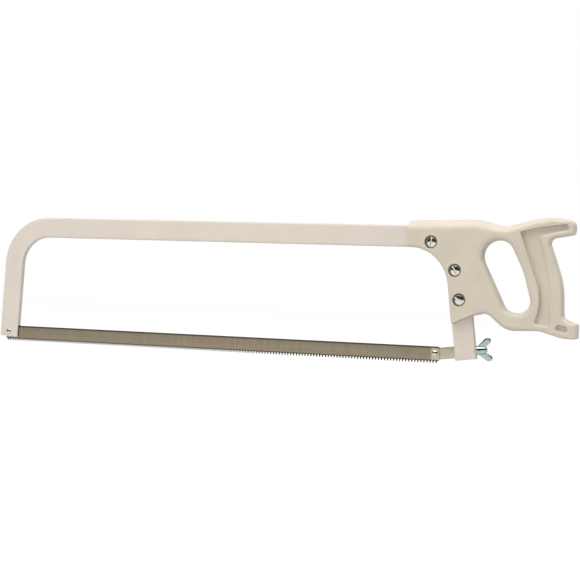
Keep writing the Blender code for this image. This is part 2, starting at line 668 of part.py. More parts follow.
def make_wing_nut():
    """Make the wing nut: a drilled tapered barrel with two leaning wings, and its washer."""
    bore = STUD_DIAMETER / 2 + CLEARANCE
    base = NUT_BASE_DIAMETER / 2
    top = NUT_TOP_DIAMETER / 2
    profile = [(bore, NUT_LENGTH), (top, NUT_LENGTH), (base, NUT_COLLAR), (base, 0.0), (bore, 0.0)]
    nut = turned("wing_nut", parts, profile, along_bolt(NUT_SEAT), hollow=True)

    root = (bore + top) / 2
    tip = NUT_LENGTH + WING_OVERHANG
    wing = [(WING_ROOT, root, MIN_CORNER),
            (tip - WING_WIDTH, WING_REACH, WING_TIP_RADIUS),
            (tip, WING_REACH, WING_TIP_RADIUS),
            (tip, WING_REACH - WING_SIDE, WING_HEEL_RADIUS),
            (NUT_LENGTH - MIN_CORNER, root, MIN_CORNER)]
    wing_frame = BOLT_FRAME @ Matrix.Translation((NUT_SEAT, 0.0, 0.0))
    tools = new_collection("wings", cutters)
    for sign, name in ((1, "upper_wing"), (-1, "lower_wing")):
        loop = [Vector((x, sign * z)) for x, z in rounded_loop(wing)]
        flat_plate(name, tools, [loop], WING_THICKNESS, 0.0, wing_frame)
    boolean(nut, tools, "UNION")
    paint(nut, "bright_zinc", (0.55, 0.64, 0.66), 0.2, 1.0)

    washer = ring(bore, BOLT_WASHER_DIAMETER / 2, 0.0, BOLT_WASHER_THICKNESS)
    frame = along_bolt(OUTER_FACE + SEAT_GAP)
    washer = turned("wing_nut_washer", parts, washer, frame, hollow=True)
    paint(washer, "washer_zinc", (0.62, 0.64, 0.62), 0.25, 1.0)
    return nut


for old in list(bpy.data.objects):
    bpy.data.objects.remove(old)
parts = new_collection(PARTS, bpy.context.scene.collection)
cutters = new_collection("butcher_saw_cutters", bpy.context.scene.collection)

make_bow()
make_handle()
for screw_place in SCREWS:
    make_handle_screw(screw_place)
make_front_pin()

bolt_axis = bpy.data.objects.new("bolt_axis", None)
bolt_axis.matrix_world = BOLT_FRAME
parts.objects.link(bolt_axis)
for drawn_piece in (make_draw_bolt(), make_rear_pin(), make_blade(), make_wing_nut()):
    hang_on(drawn_piece, bolt_axis)
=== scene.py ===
"""Looks of the butcher saw: its pieces, finishes and studio, laid out as a Blender add-on.

Metres, +Z up, +X from the nose of the bow to the grip, Y across the saw.
The outlines below are in millimetres, in the plane of the saw (x, z).
"""
import json
import math

import bmesh
import bpy
import numpy as np
from bpy.props import FloatProperty, FloatVectorProperty, PointerProperty
from mathutils import Matrix, Vector
from mathutils.geometry import delaunay_2d_cdt


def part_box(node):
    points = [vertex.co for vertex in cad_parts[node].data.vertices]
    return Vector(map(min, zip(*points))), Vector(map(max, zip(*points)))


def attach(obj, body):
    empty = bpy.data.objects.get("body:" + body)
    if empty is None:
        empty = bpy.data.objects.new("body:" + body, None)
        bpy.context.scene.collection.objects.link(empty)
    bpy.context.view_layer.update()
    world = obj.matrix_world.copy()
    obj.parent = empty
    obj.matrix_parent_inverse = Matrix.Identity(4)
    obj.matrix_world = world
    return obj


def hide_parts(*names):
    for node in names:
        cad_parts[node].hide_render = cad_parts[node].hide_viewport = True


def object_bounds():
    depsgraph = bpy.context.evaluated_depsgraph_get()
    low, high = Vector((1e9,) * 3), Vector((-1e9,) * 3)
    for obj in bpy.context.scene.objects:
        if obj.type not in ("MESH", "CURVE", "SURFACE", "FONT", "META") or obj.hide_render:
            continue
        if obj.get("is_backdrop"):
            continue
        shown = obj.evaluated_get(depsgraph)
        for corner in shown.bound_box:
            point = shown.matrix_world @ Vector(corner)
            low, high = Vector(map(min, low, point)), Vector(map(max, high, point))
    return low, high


bl_info = {
    "name": "Butcher saw",
    "version": (1, 0, 0),
    "blender": (4, 5, 0),
    "location": "3D View > Sidebar > Saw",
    "description": "Builds the pieces, finishes and studio of a butcher saw",
    "category": "Object",
}

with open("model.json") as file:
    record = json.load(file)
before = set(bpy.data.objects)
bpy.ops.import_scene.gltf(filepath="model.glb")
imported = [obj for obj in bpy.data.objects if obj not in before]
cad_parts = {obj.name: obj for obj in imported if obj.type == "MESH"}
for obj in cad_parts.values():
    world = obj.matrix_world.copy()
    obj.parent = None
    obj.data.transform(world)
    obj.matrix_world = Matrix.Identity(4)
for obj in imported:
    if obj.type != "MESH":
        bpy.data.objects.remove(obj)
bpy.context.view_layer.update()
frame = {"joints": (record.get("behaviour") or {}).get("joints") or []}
MM = 0.001
QUARTER_TURN = math.pi / 2
FULL_TURN = 2 * math.pi
NEAR_SIDE = (0, -1, 0)
SCREW_PLACES = ("upper", "middle", "lower")

# Distances under which points are welded and faces dropped, and angles past which an edge is sharp
WELD = 2e-6
SPECK = WELD / 4
SHARP_ANGLE = math.radians(38)
GRIP_SHARP_ANGLE = math.radians(30)
# Blender's triangulation keeps what the loops enclose; its tolerance is in millimetres
INSIDE_LOOPS = 1
LOOP_TOLERANCE = 1e-5
# Gaps between points along the tube, the grip's outline and the edges of its openings
TUBE_GAP = 12 * MM
GRIP_GAP = 3 * MM
OPENING_GAP = 2.5 * MM

# Grip outline, clockwise from the top of its front end, from the heel of the bow:
# x, z, radius of the corner, rounding of the edge there
GRIP_CORNERS = (
    (27.7, 20.6, 60, 12.5), (58.6, 13.1, 20, 9.0), (98.5, 23.5, 60, 6.8), (114.5, 24.3, 60, 5.4),
    (138.5, 20.9, 7.5, 3.4), (136.2, 5.7, 4, 2.2), (107.5, 0.2, 6.5, 2.4), (125.0, -48.3, 90, 2.6),
    (127.4, -88.1, 7, 4.0), (136.5, -91.4, 10, 5.2), (143.3, -93.9, 2.4, 1.9), (143.3, -110.7, 2.8, 2.2),
    (126.7, -110.2, 30, 3.0), (101.2, -103.0, 30, 3.2), (63.6, -104.6, 26, 5.0), (41.3, -85.2, 12, 4.0),
)
# Finger hole, clockwise: x, z, radius of the corner, rounding of the edge there
FINGER_HOLE = (
    (22.9, -2.5, 18.2, 6.5), (64.0, -2.5, 17.0, 5.5), (82.8, -39.5, 100, 3.8), (93.2, -83.8, 13.3, 8.0),
    (63.4, -83.8, 14.0, 7.0),
)
# Pockets in each cheek, one along the palm and one in the lower horn: x, z, radius of the corner,
# and there the rounding of the mouth, the lean of the wall and the height of the floor from the
# mid plane, which climbs towards the palm
PALM_POCKET = (
    (76.5, 7.3, 1.5, 0.6, 0.6, 5.3), (98.1, 12.9, 150, 0.6, 0.6, 6.0), (130.0, 17.0, 2.6, 0.6, 0.6, 7.0),
    (130.2, 11.2, 2.6, 2.6, 0.6, 7.0), (98.0, 3.4, 5, 2.4, 0.8, 7.0), (114.2, -55.3, 120, 0.8, 1.5, 8.6),
    (113.0, -98.4, 4, 2.0, 1.2, 8.2), (96.9, -94.7, 1.5, 2.8, 0.6, 6.4), (102.9, -65.3, 60, 0.8, 0.8, 6.2),
)
HORN_POCKET = (
    (120.8, -94.9, 2.4, 0.7, 0.6, 7.3), (132.6, -97.3, 2.4, 0.7, 0.6, 7.3),
    (132.2, -102.9, 2.4, 2.2, 0.6, 7.3), (120.4, -100.7, 2.4, 2.2, 0.6, 7.3),
)
# Lower ends of the saddle against the heel, and the edges where the grip takes in the tube
SADDLE_OUTER_DROP = -89.0
SADDLE_INNER_DROP = -99.6
SADDLE_END_CORNER = 2.0
SADDLE_END_EDGE = 1.5
SADDLE_EDGE = 2.6
MOUTH_EDGE = 1.9

# One point of the blade's teeth, as fractions of the pitch and of the depth
TOOTH_SHAPE = (
    (0.00, 1.00), (0.03, 0.60), (0.07, 0.04), (0.26, 0.04), (0.40, 0.45), (0.51, 0.88), (0.57, 1.00),
)
# One wing of the nut, clockwise: along the bolt, away from it, radius of the corner, rounding there
WING_CORNERS = (
    (0.6, 3.4, 0.8, 0.6), (0.6, 4.8, 1.0, 0.8), (10.6, 13.3, 2.7, 2.5), (16.5, 13.3, 2.7, 2.5),
    (16.5, 7.9, 2.7, 2.5), (12.2, 4.6, 1.5, 1.2), (9.6, 3.4, 0.8, 0.6),
)

# Sizes of the finishes' patterns in millimetres; the blade's are along it and up it
ENAMEL_DRIFT = 45.455
ENAMEL_PEEL = 2.0833
PLASTIC_FLOW = 28.571
PLASTIC_SPARK = 1.05263
BLADE_STREAK = (166.67, 1.1111)
BLADE_SCRATCH = (1.92308, 25.0)
PIN_GRAIN = 1.5
SCREW_GRAIN = 1.5
STRAP_GRAIN = 2.0
WING_GRAIN = 1.2
# Height of the enamel's and the plastic's bumps
BUMP_HEIGHT = 0.2 * MM
# Bands of tone on the blade, in millimetres from its rear end, up from its points and down from its
# back: where each starts and where it is full
BLADE_END_BAND = (10.5, 8.0)
BLADE_POINTS_BAND = (4.2, 3.0)
BLADE_BACK_BAND = (2.8, 1.0)

# Lamps: name, place, point that it faces, size, and whether metal mirrors it
LAMPS = (
    ("top", (-0.1, -0.4, 1.5), (-0.1, 0.0, 0.08), (2.4, 1.2), True),
    ("front", (-1.2, -1.7, 1.2), (0.1, 0.0, 0.08), (1.2, 0.9), False),
    ("side", (2.0, -0.2, 0.6), (0.2, 0.0, 0.08), (0.9, 0.9), False),
)


def number(title, meaning, default, **kind):
    """Return a number property, with a unit or subtype where one fits."""
    return FloatProperty(name=title, description=meaning, default=default, **kind)


def length(title, meaning, millimetres):
    """Return a length property, given in millimetres and kept in metres."""
    return number(title, meaning, millimetres * MM, unit="LENGTH", precision=5)


def angle(title, meaning, degrees):
    """Return an angle property, given in degrees."""
    return number(title, meaning, math.radians(degrees), subtype="ANGLE")


def linear(code):
    """Return an sRGB hex colour as linear red, green and blue."""
    parts = np.array([int(code[k:k + 2], 16) for k in (1, 3, 5)]) / 255
    return tuple(np.where(parts <= 0.04045, parts / 12.92, ((parts + 0.055) / 1.055) ** 2.4).tolist())


def colour(title, meaning, code):
    """Return a colour property, given as sRGB hex."""
    return FloatVectorProperty(
        name=title, description=meaning, default=linear(code), subtype="COLOR", size=3, min=0, max=1)


class BowSizes(bpy.types.PropertyGroup):
    """Sizes of the bent tube."""
    height: length("Tube height", "Tube measured in the plane of the saw", 25.0)
    depth: length("Tube depth", "Tube measured across the saw", 8.0)
    wall: length("Tube wall", "Thickness of the tube's steel", 1.2)
    corner: length("Tube corner", "Outer radius of the tube's four edges", 1.8)
    front_bend: length("Front bend", "Centreline radius of the nose bend", 47.5)
    rear_bend: length("Rear bend", "Centreline radius of the bend under the grip", 60.0)
    front_splay: angle("Front splay", "Lean of the front leg", 2.5)
    rear_splay: angle("Rear splay", "Lean of the rear leg", 7.5)
    leg_end: length("Leg end", "Height of the legs' cut ends above the tooth tips", 5.5)
    notch_top: length("Notch", "Height of the blade's notch up the front leg", 15.515)
    notch_width: length("Notch width", "Width of the blade's notch", 3.6)
    slot_length: length("Slot length", "Length of the strap's slot in the rear leg", 14.4)
    slot_width: length("Slot width", "Width of the strap's slot", 2.6)
    stud_hole: length("Stud hole", "Width of the hole under the wing nut", 5.6)


class GripSizes(bpy.types.PropertyGroup):
    """Sizes of the moulded grip."""
    thickness: length("Thickness", "Grip measured across the saw", 22.0)
    saddle_length: length("Saddle length", "Reach of the grip in front of the heel", 53.0)
    saddle_top: length("Saddle top", "Top of the grip's front end above the bar's centreline", 18.1)
    saddle_lip: length("Saddle lip", "Tube left showing along the saddle", 0.6)
    channel_room: length("Channel room", "Room around the tube inside the saddle", 0.3)
    pocket_floor: length("Pocket floor", "Rounding round a pocket's floor", 0.8)
    edge_depth: number("Edge depth", "Depth of an edge's rounding over its width", 1.4)
    edge_bevel: number("Edge bevel", "Share of a straight bevel in an edge's rounding", 0.6, subtype="FACTOR")
    lip_depth: number("Lip depth", "Depth of a pocket's rounded mouth over its width", 1.5)
    counterbore: length("Counterbore", "Diameter of a screw's counterbore", 15.0)
    counterbore_lip: length("Counterbore lip", "Rounding of a counterbore's mouth", 0.4)
    counterbore_seat: length("Counterbore seat", "Height of a counterbore's floor from the mid plane", 6.6)
    screw_hole: length("Screw hole", "Diameter of the hole for a screw", 5.6)


class BladeSizes(bpy.types.PropertyGroup):
    """Sizes of the blade."""
    pitch: length("Pitch", "Distance from tooth to tooth", 3.63)
    depth: length("Tooth depth", "Height of a tooth", 2.7)
    tooth_set: length("Set", "Sideways bend of a tooth's tip", 0.24)
    hole: length("Hole", "Diameter of the holes for the pins", 5.2)
    corner: length("Corner", "Radius of the corners of the blade's back", 1.2)
    tooth_corner: length("Tooth corner", "Radius of the corners beside the teeth", 0.4)


class FastenerSizes(bpy.types.PropertyGroup):
    """Sizes of the pins, screws, washers and nuts."""
    pin: length("Pin", "Diameter of a blade pin", 4.6)
    pin_head: length("Pin head", "Diameter of a pin's head", 6.4)
    pin_dome: length("Pin dome", "Rise of a pin's domed head", 1.2)
    pin_rivet: length("Pin rivet", "Rise of a pin's rivet head", 0.9)
    head: length("Screw head", "Diameter of a screw's head", 12.0)
    head_height: length("Screw head height", "Height of a screw's head", 2.2)
    head_dome: length("Screw head dome", "Rise of a screw's dome from its rim", 1.6)
    slot_width: length("Slot width", "Width of a screw's slot", 1.8)
    shank: length("Shank", "Diameter of a screw's shank", 5.0)
    washer: length("Washer", "Diameter of a screw's washer", 14.0)
    washer_hole: length("Washer hole", "Diameter of a washer's hole", 5.4)
    nut_flats: length("Nut", "Nut across flats", 8.0)


class TensionSizes(bpy.types.PropertyGroup):
    """Sizes of the draw bolt and its wing nut."""
    pin_to_leg: length("Pin to leg", "Rear pin to the leg's centreline", 35.6)
    strap: length("Strap", "Thickness of the strap", 2.0)
    strap_face: length("Strap face", "Distance of the strap from the mid plane", 0.15)
    strap_width: length("Strap width", "Width of the strap", 13.8)
    strap_round: length("Strap rounding", "Rounding of the strap's edges", 0.35)
    stud: length("Stud", "Diameter of the thread", 5.0)
    thread_pitch: length("Thread pitch", "Distance from turn to turn", 0.8)
    thread_depth: length("Thread depth", "Depth of the thread", 0.45)
    stud_start: length("Stud start", "Start of the stud from the rear pin", 29.9)
    strap_end: length("Strap end", "End of the strap from the rear pin", 35.9)
    stud_end: length("Stud end", "End of the stud from the rear pin", 61.0)
    barrel: length("Barrel", "Length of the nut's barrel", 10.5)
    barrel_base: length("Barrel base", "Diameter of the barrel at the washer", 11.0)
    barrel_top: length("Barrel top", "Diameter of the barrel at its far end", 8.4)
    collar: length("Collar", "Length of the barrel's straight collar", 2.0)
    wing: length("Wing", "Thickness of a wing", 2.2)
    washer: length("Washer", "Diameter of the wing nut's washer", 10.0)
    washer_thick: length("Washer thickness", "Thickness of the wing nut's washer", 1.0)


class Finishes(bpy.types.PropertyGroup):
    """Colours of the finishes."""
    enamel: colour("Enamel", "Cream enamel on the tube", "#DED3C6")
    # Painted shade: the greyer colour drawn on the tube's edges and narrow sides
    enamel_side_shade: colour("Enamel edges", "Thin enamel on the tube's edges", "#B9B7B0")
    plastic: colour("Plastic", "Cream plastic of the grip", "#D3C8B6")
    # Painted shade: the darker colour drawn on the grip's edges and walls that turn from Y and not upwards
    plastic_side_shade: colour("Plastic edges", "Handled edges and walls of the grip", "#B6AD9F")
    blade: colour("Blade", "Rolled steel of the blade", "#A59883")
    blade_back: colour("Blade back", "Dark line along the blade's back", "#544A3D")
    blade_points: colour("Blade points", "Hardened points of the blade", "#2C251B")
    # The blade's rear end is drawn paler round the pin
    blade_end: colour("Blade end", "Softened rear end of the blade", "#D6CAB2")
    strap: colour("Strap", "Dull plating of the strap and stud", "#C1B9A3")
    zinc: colour("Zinc", "Zinc of the screws and nuts", "#D8DBCF")
    # Painted shade: the washers are drawn dark for the shadowed ring round each screw head in its counterbore
    washer: colour("Washers", "Dark steel of the grip's washers", "#756D60")
    bright_zinc: colour("Bright zinc", "Blue zinc of the wing nut", "#A9BAB6")
    pin: colour("Pin", "Turned steel of the pins", "#C9C5BB")


class Studio(bpy.types.PropertyGroup):
    """The camera and the light."""
    distance: length("Distance", "Camera to the point it looks at", 1730.84)
    azimuth: angle("Azimuth", "Camera's turn round the saw", 20.0)
    roll: angle("Roll", "Camera's roll", 2.157)
    lens: number("Lens", "Focal length on a 36 mm sensor", 90.2, unit="CAMERA")
    target: FloatVectorProperty(
        name="Target", description="Point at the middle of the picture", default=(0.0241, 0.0, 0.0777),
        subtype="TRANSLATION", size=3)
    sky: number("Sky", "Strength of the light from all round", 0.35)
    top_light: number("Top light", "Power of the lamp overhead", 26.0, unit="POWER")
    front_light: number("Front light", "Power of the lamp at the front", 9.0, unit="POWER")
    side_light: number("Side light", "Power of the lamp at the grip's end", 8.0, unit="POWER")


# Working with outlines in the plane of the saw

def unit(vectors):
    """Return vectors divided by their lengths."""
    return vectors / np.linalg.norm(vectors, axis=-1, keepdims=True)


def left(vectors):
    """Return vectors turned a quarter turn to the left."""
    return np.stack([-vectors[..., 1], vectors[..., 0]], axis=-1)


def in_plane(places):
    """Return the x and z of places."""
    return np.asarray(places)[..., [0, 2]]


def lift(points, across):
    """Return points of the saw's plane as places, with their Y given."""
    return np.stack(np.broadcast_arrays(points[..., 0], across, points[..., 1]), axis=-1)


def turns(steps):
    """Return evenly spaced angles round a full turn."""
    return np.arange(steps) * (FULL_TURN / steps)


def at_level(start, way, level):
    """Return where a line from a start along a way reaches a height."""
    return start + way * ((level - start[1]) / way[1])


def corner_arcs(before, here, after, radius, steps):
    """Return the points and left-hand normals of the arcs that round corners.

    An arc touches both sides, so it starts radius * tan(turn / 2) before its corner, and point k
    is the arc's centre plus its first spoke turned by turn * k / steps.
    """
    arrive = unit(here - before)
    leave = unit(after - here)
    turn = np.arctan2((left(arrive) * leave).sum(axis=1), (arrive * leave).sum(axis=1))
    start = here - arrive * (radius * np.tan(np.abs(turn) / 2))[:, None]
    spoke = -left(arrive) * (np.sign(turn) * radius)[:, None]
    turned = turn[:, None] * np.linspace(0, 1, steps + 1)
    cosine = np.cos(turned)[..., None]
    sine = np.sin(turned)[..., None]
    points = (start - spoke)[:, None] + spoke[:, None] * cosine + left(spoke)[:, None] * sine
    normals = left(arrive)[:, None] * cosine - arrive[:, None] * sine
    return points, normals


def distances(points):
    """Return how far along a line each of its points lies."""
    return np.append(0, np.cumsum(np.linalg.norm(np.diff(points, axis=0), axis=1)))


def between(rows, along, wanted):
    """Return rows at wanted distances, whose columns change evenly between the given rows."""
    return np.stack([np.interp(wanted, along, column) for column in rows.T], axis=1)


def closed_outline(corners, steps):
    """Return the points and outward normals of a clockwise outline with rounded corners."""
    corners = np.asarray(corners, dtype=float)
    place = corners[:, :2]
    points, normals = corner_arcs(
        np.roll(place, 1, axis=0), place, np.roll(place, -1, axis=0), corners[:, 2], steps)
    return points.reshape(-1, 2), normals.reshape(-1, 2)


def closed_stations(corners, steps, gap):
    """Return points, outward normals and further values of a clockwise outline with rounded corners.

    Points stand no further apart than a gap, and the values change evenly from corner to corner.
    """
    points, normals = closed_outline(corners, steps)
    rows = np.column_stack([points, normals, np.repeat(corners[:, 3:], steps + 1, axis=0)])
    rows = np.vstack([rows, rows[:1]])
    along = distances(rows[:, :2])
    wanted = np.append(along[:-1], np.arange(0, along[-1], gap))
    rows = between(rows, along, np.unique(np.round(wanted, decimals=6)))
    return rows[:, :2], unit(rows[:, 2:4]), rows[:, 4:]


def open_outline(corners, steps):
    """Return points, outward normals and fourth values of an open clockwise line with round corners."""
    corners = np.asarray(corners, dtype=float)
    place = corners[:, :2]
    arcs, turned = corner_arcs(place[:-2], place[1:-1], place[2:], corners[1:-1, 2], steps)
    ends = left(unit(place[[1, -1]] - place[[0, -2]]))
    points = np.vstack([place[:1], arcs.reshape(-1, 2), place[-1:]])
    normals = np.vstack([ends[:1], turned.reshape(-1, 2), ends[1:]])
    values = np.concatenate([corners[:1, 3], np.repeat(corners[1:-1, 3], steps + 1), corners[-1:, 3]])
    fresh = np.append(True, np.linalg.norm(np.diff(points, axis=0), axis=1) > WELD)
    return points[fresh], normals[fresh], values[fresh]


def stations(points, normals, values, gap, cuts=()):
    """Return a line with further points a gap apart and at given cuts, and how far along each lies."""
    along = distances(points)
    wanted = np.sort(np.concatenate([along, cuts, np.arange(0, along[-1], gap)]))
    wanted = wanted[np.append(True, np.diff(wanted) > WELD)]
    rows = between(np.column_stack([points, normals, values]), along, wanted)
    return rows[:, :2], unit(rows[:, 2:4]), rows[:, 4], wanted


def circle(centre, radius, steps):
    """Return the points and outward normals of a clockwise circle: centre + radius * (sin a, cos a)."""
    normals = np.stack([np.sin(turns(steps)), np.cos(turns(steps))], axis=1)
    return np.asarray(centre) + normals * radius, normals


def rim(points, normals, edge, face, inward, steps, support=0.0, depth=None, bevel=0.0):
    """Return rings that round an edge, from the flat face to the wall.

    Ring k stands edge * (1 - sin a) in from the wall and depth * (1 - cos a) below the face, as a
    goes from 0 to a quarter turn; without a depth of its own the edge is round. A bevel, from 0 to 1,
    mixes in depth * sin^2 a, which leaves the face at once.
    A first ring, support further in, keeps the face flat to the eye.
    """
    turned = np.linspace(0, QUARTER_TURN, steps + 1)[:, None]
    edge = np.broadcast_to(edge, points.shape[:1])
    inset = edge * (1 - np.sin(turned))
    fall = (1 - bevel) * (1 - np.cos(turned)) + bevel * np.sin(turned) ** 2
    sink = np.broadcast_to((edge if depth is None else depth) * fall, inset.shape)
    if support:
        inset = np.vstack([inset[:1] + support, inset])
        sink = np.vstack([sink[:1], sink])
    rings = points + inward * normals * inset[..., None]
    return lift(rings, face - math.copysign(1, face) * sink)


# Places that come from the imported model

def joint(name):
    """Return the record of a joint."""
    return next(entry for entry in frame["joints"] if entry["name"] == name)


def middle(node):
    """Return the middle of a CAD node's box."""
    low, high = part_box(node)
    return (np.array(low) + np.array(high)) / 2


BOLT_AXIS = in_plane(joint("wing_nut_turn")["axis"])
BOLT_LINE = lift(BOLT_AXIS, 0.0)
BOLT_TILT = np.array([BOLT_AXIS, left(BOLT_AXIS)])
NUT_SEAT = in_plane(joint("wing_nut_turn")["pos_m"])
FRONT_PIN = in_plane(middle("front_blade_pin"))
REAR_PIN = in_plane(middle("rear_blade_pin"))
BOLT_START = NUT_SEAT - BOLT_AXIS * (NUT_SEAT - REAR_PIN).dot(BOLT_AXIS)
BLADE_Y = middle("blade")[1]


def bow_line(bow, tension):
    """Return the tube's centreline: its front end, nose, heel and rear end, and the bolt's crossing.

    The legs lean by their splay, the front one through the front pin and the rear one through the
    draw bolt, and each meets the bar's centreline at its corner.
    """
    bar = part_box("bow_frame")[1].z - bow.height / 2
    up_front = np.array([math.sin(bow.front_splay), math.cos(bow.front_splay)])
    up_rear = np.array([-math.sin(bow.rear_splay), math.cos(bow.rear_splay)])
    on_rear = BOLT_START + BOLT_AXIS * tension.pin_to_leg
    front, nose = [at_level(FRONT_PIN, up_front, level) for level in (bow.leg_end, bar)]
    rear, heel = [at_level(on_rear, up_rear, level) for level in (bow.leg_end, bar)]
    return front, nose, heel, rear, on_rear


def from_heel(corners, heel):
    """Return corners in metres, set out from the heel of the bow."""
    corners = np.array(corners) * MM
    corners[:, :2] += heel
    return corners


# Building a piece

class Skin:
    """The points and faces of a piece, gathered surface by surface."""

    def __init__(self):
        self.points = []
        self.faces = []
        self.count = 0

    def add(self, points, faces):
        """Add points and the faces between them."""
        self.points.append(np.asarray(points, dtype=float).reshape(-1, 3))
        self.faces.extend((np.asarray(faces) + self.count).tolist())
        self.count += len(self.points[-1])

    def grid(self, points, closed=(False, False), keep=None):
        """Add a grid of points as quads, joined end to end where closed, leaving out cells not kept."""
        rows, columns = points.shape[:2]
        index = np.arange(rows * columns).reshape(rows, columns)
        index = np.pad(index, ((0, int(closed[0])), (0, int(closed[1]))), mode="wrap")
        quads = np.stack([index[:-1, :-1], index[:-1, 1:], index[1:, 1:], index[1:, :-1]], axis=-1)
        self.add(points, quads.reshape(-1, 4) if keep is None else quads[keep])

    def flat(self, loops, place):
        """Fill the area between closed loops of a plane with triangles.

        place sets the found points in space, given with the numbers of the loops' points that they are.
        A triangle stays where a line from its middle crosses the loops an odd number of times.
        """
        flat = np.vstack(loops) / MM
        ends = np.cumsum([len(loop) for loop in loops])
        after = np.arange(len(flat)) + 1
        after[ends - 1] = ends - [len(loop) for loop in loops]
        edges = np.stack([np.arange(len(flat)), after], axis=1).tolist()
        corners = [Vector(point) for point in flat.tolist()]
        found = delaunay_2d_cdt(corners, edges, [], INSIDE_LOOPS, LOOP_TOLERANCE)
        points = np.array([tuple(point) for point in found[0]])
        triangles = np.array(found[2])
        middle_x, middle_y = points[triangles].mean(axis=1).T[..., None]
        start_x, start_y = flat.T
        run_x, run_y = (flat[after] - flat).T
        crossed = (start_y > middle_y) != (start_y + run_y > middle_y)
        reach = start_x + (middle_y - start_y) * run_x / np.where(run_y == 0, 1, run_y)
        inside = (crossed & (middle_x < reach)).sum(axis=1) % 2 == 1
        source = np.array([loop_points[0] for loop_points in found[3]])
        self.add(place(points * MM, source), triangles[inside])

    def fill(self, loops, across):
        """Fill the area between closed loops at one Y level."""
        self.flat(loops, lambda flat, source: lift(flat, across))

    def slab(self, loops, low, high, edge, steps, depth=None):
        """Add a plate between two Y levels, with its edges rounded.

        loops are (points, outward normals): the outline first, then its holes.
        """
        faces = []
        for order, (points, normals) in enumerate(loops):
            inward = 1 if order else -1
            back = rim(points, normals, edge, (high - low) / 2, inward, steps, depth=depth)
            rings = np.concatenate([back * (1, -1, 1), back[::-1]]) + (0, (low + high) / 2, 0)
            self.grid(rings, closed=(False, True))
            faces.append(in_plane(rings[0]))
        self.fill(faces, low)
        self.fill(faces, high)

    def turned(self, profile, steps, matrix, closed=False):
        """Add a turned surface: each (radius, height) of the profile goes round the Z axis of a matrix."""
        radius, height = np.asarray(profile, dtype=float).T[..., None]
        self.around(radius, height, steps, matrix, closed)

    def around(self, radius, height, steps, matrix, closed=False):
        """Add a surface that stands at radius * (cos a, sin a) and at a height, on the axes of a matrix."""
        places = np.stack(np.broadcast_arrays(
            radius * np.cos(turns(steps)), radius * np.sin(turns(steps)), height), axis=-1)
        places = places @ np.array(matrix.to_3x3()).T + np.array(matrix.translation)
        self.grid(places, closed=(closed, True))


def make_piece(node, skin, material, body, sharp=SHARP_ANGLE):
    """Make the mesh of a piece, weld its seams, face it outwards and put it in its node's place."""
    mesh = bpy.data.meshes.new(node)
    mesh.from_pydata(np.vstack(skin.points).tolist(), [], skin.faces)
    work = bmesh.new()
    work.from_mesh(mesh)
    bmesh.ops.remove_doubles(work, verts=work.verts, dist=WELD)
    bmesh.ops.dissolve_degenerate(work, dist=SPECK, edges=work.edges)
    bmesh.ops.recalc_face_normals(work, faces=work.faces)
    work.to_mesh(mesh)
    work.free()
    mesh.shade_smooth()
    mesh.set_sharp_from_angle(angle=sharp)
    mesh.materials.append(material)
    piece = bpy.data.objects.new(node, mesh)
    bpy.context.scene.collection.objects.link(piece)
    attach(piece, body)
    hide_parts(node)


def stand(point, axis=NEAR_SIDE, across=0.0):
    """Return a matrix that sets a turned shape's Z axis along an axis at a point of the saw's plane."""
    tilt = Vector(axis).to_track_quat("Z", "Y").to_matrix().to_4x4()
    return Matrix.Translation(lift(point, across)) @ tilt


def washer_profile(hole, width, thick, bevel):
    """Return a washer's profile from the diameters of its hole and rim, with the rim bevelled."""
    inner = hole / 2
    outer = width / 2
    return [
        (inner, 0), (outer - bevel, 0), (outer, bevel), (outer, thick - bevel), (outer - bevel, thick),
        (inner, thick),
    ]


# Finishes

def set_inputs(tree, node, values=None, links=None):
    """Set a node's input values, and link its inputs to other nodes' outputs."""
    for key, value in (values or {}).items():
        node.inputs[key].default_value = value
    for key, (source, output) in (links or {}).items():
        tree.links.new(source.outputs[output], node.inputs[key])


def add_node(tree, kind, values=None, links=None, stops=(), **settings):
    """Add a node with its options, input values, links and, on a colour ramp, its stops."""
    node = tree.nodes.new(kind)
    for key, value in settings.items():
        setattr(node, key, value)
    set_inputs(tree, node, values, links)
    for place, (position, shade) in enumerate(stops):
        node.color_ramp.elements[place].position = position
        node.color_ramp.elements[place].color = shade
    return node


def new_finish(name):
    """Return a new material with its node tree and shader."""
    material = bpy.data.materials.new(name)
    material.use_nodes = True
    tree = material.node_tree
    return material, tree, tree.nodes["Principled BSDF"]


def tone(shade, factor=1.0):
    """Return a linear colour made lighter or darker, with its alpha."""
    return tuple(min(1.0, part * factor) for part in shade) + (1.0,)


def per_metre(millimetres):
    """Return the scale of a pattern of a given size."""
    return 1 / (millimetres * MM)


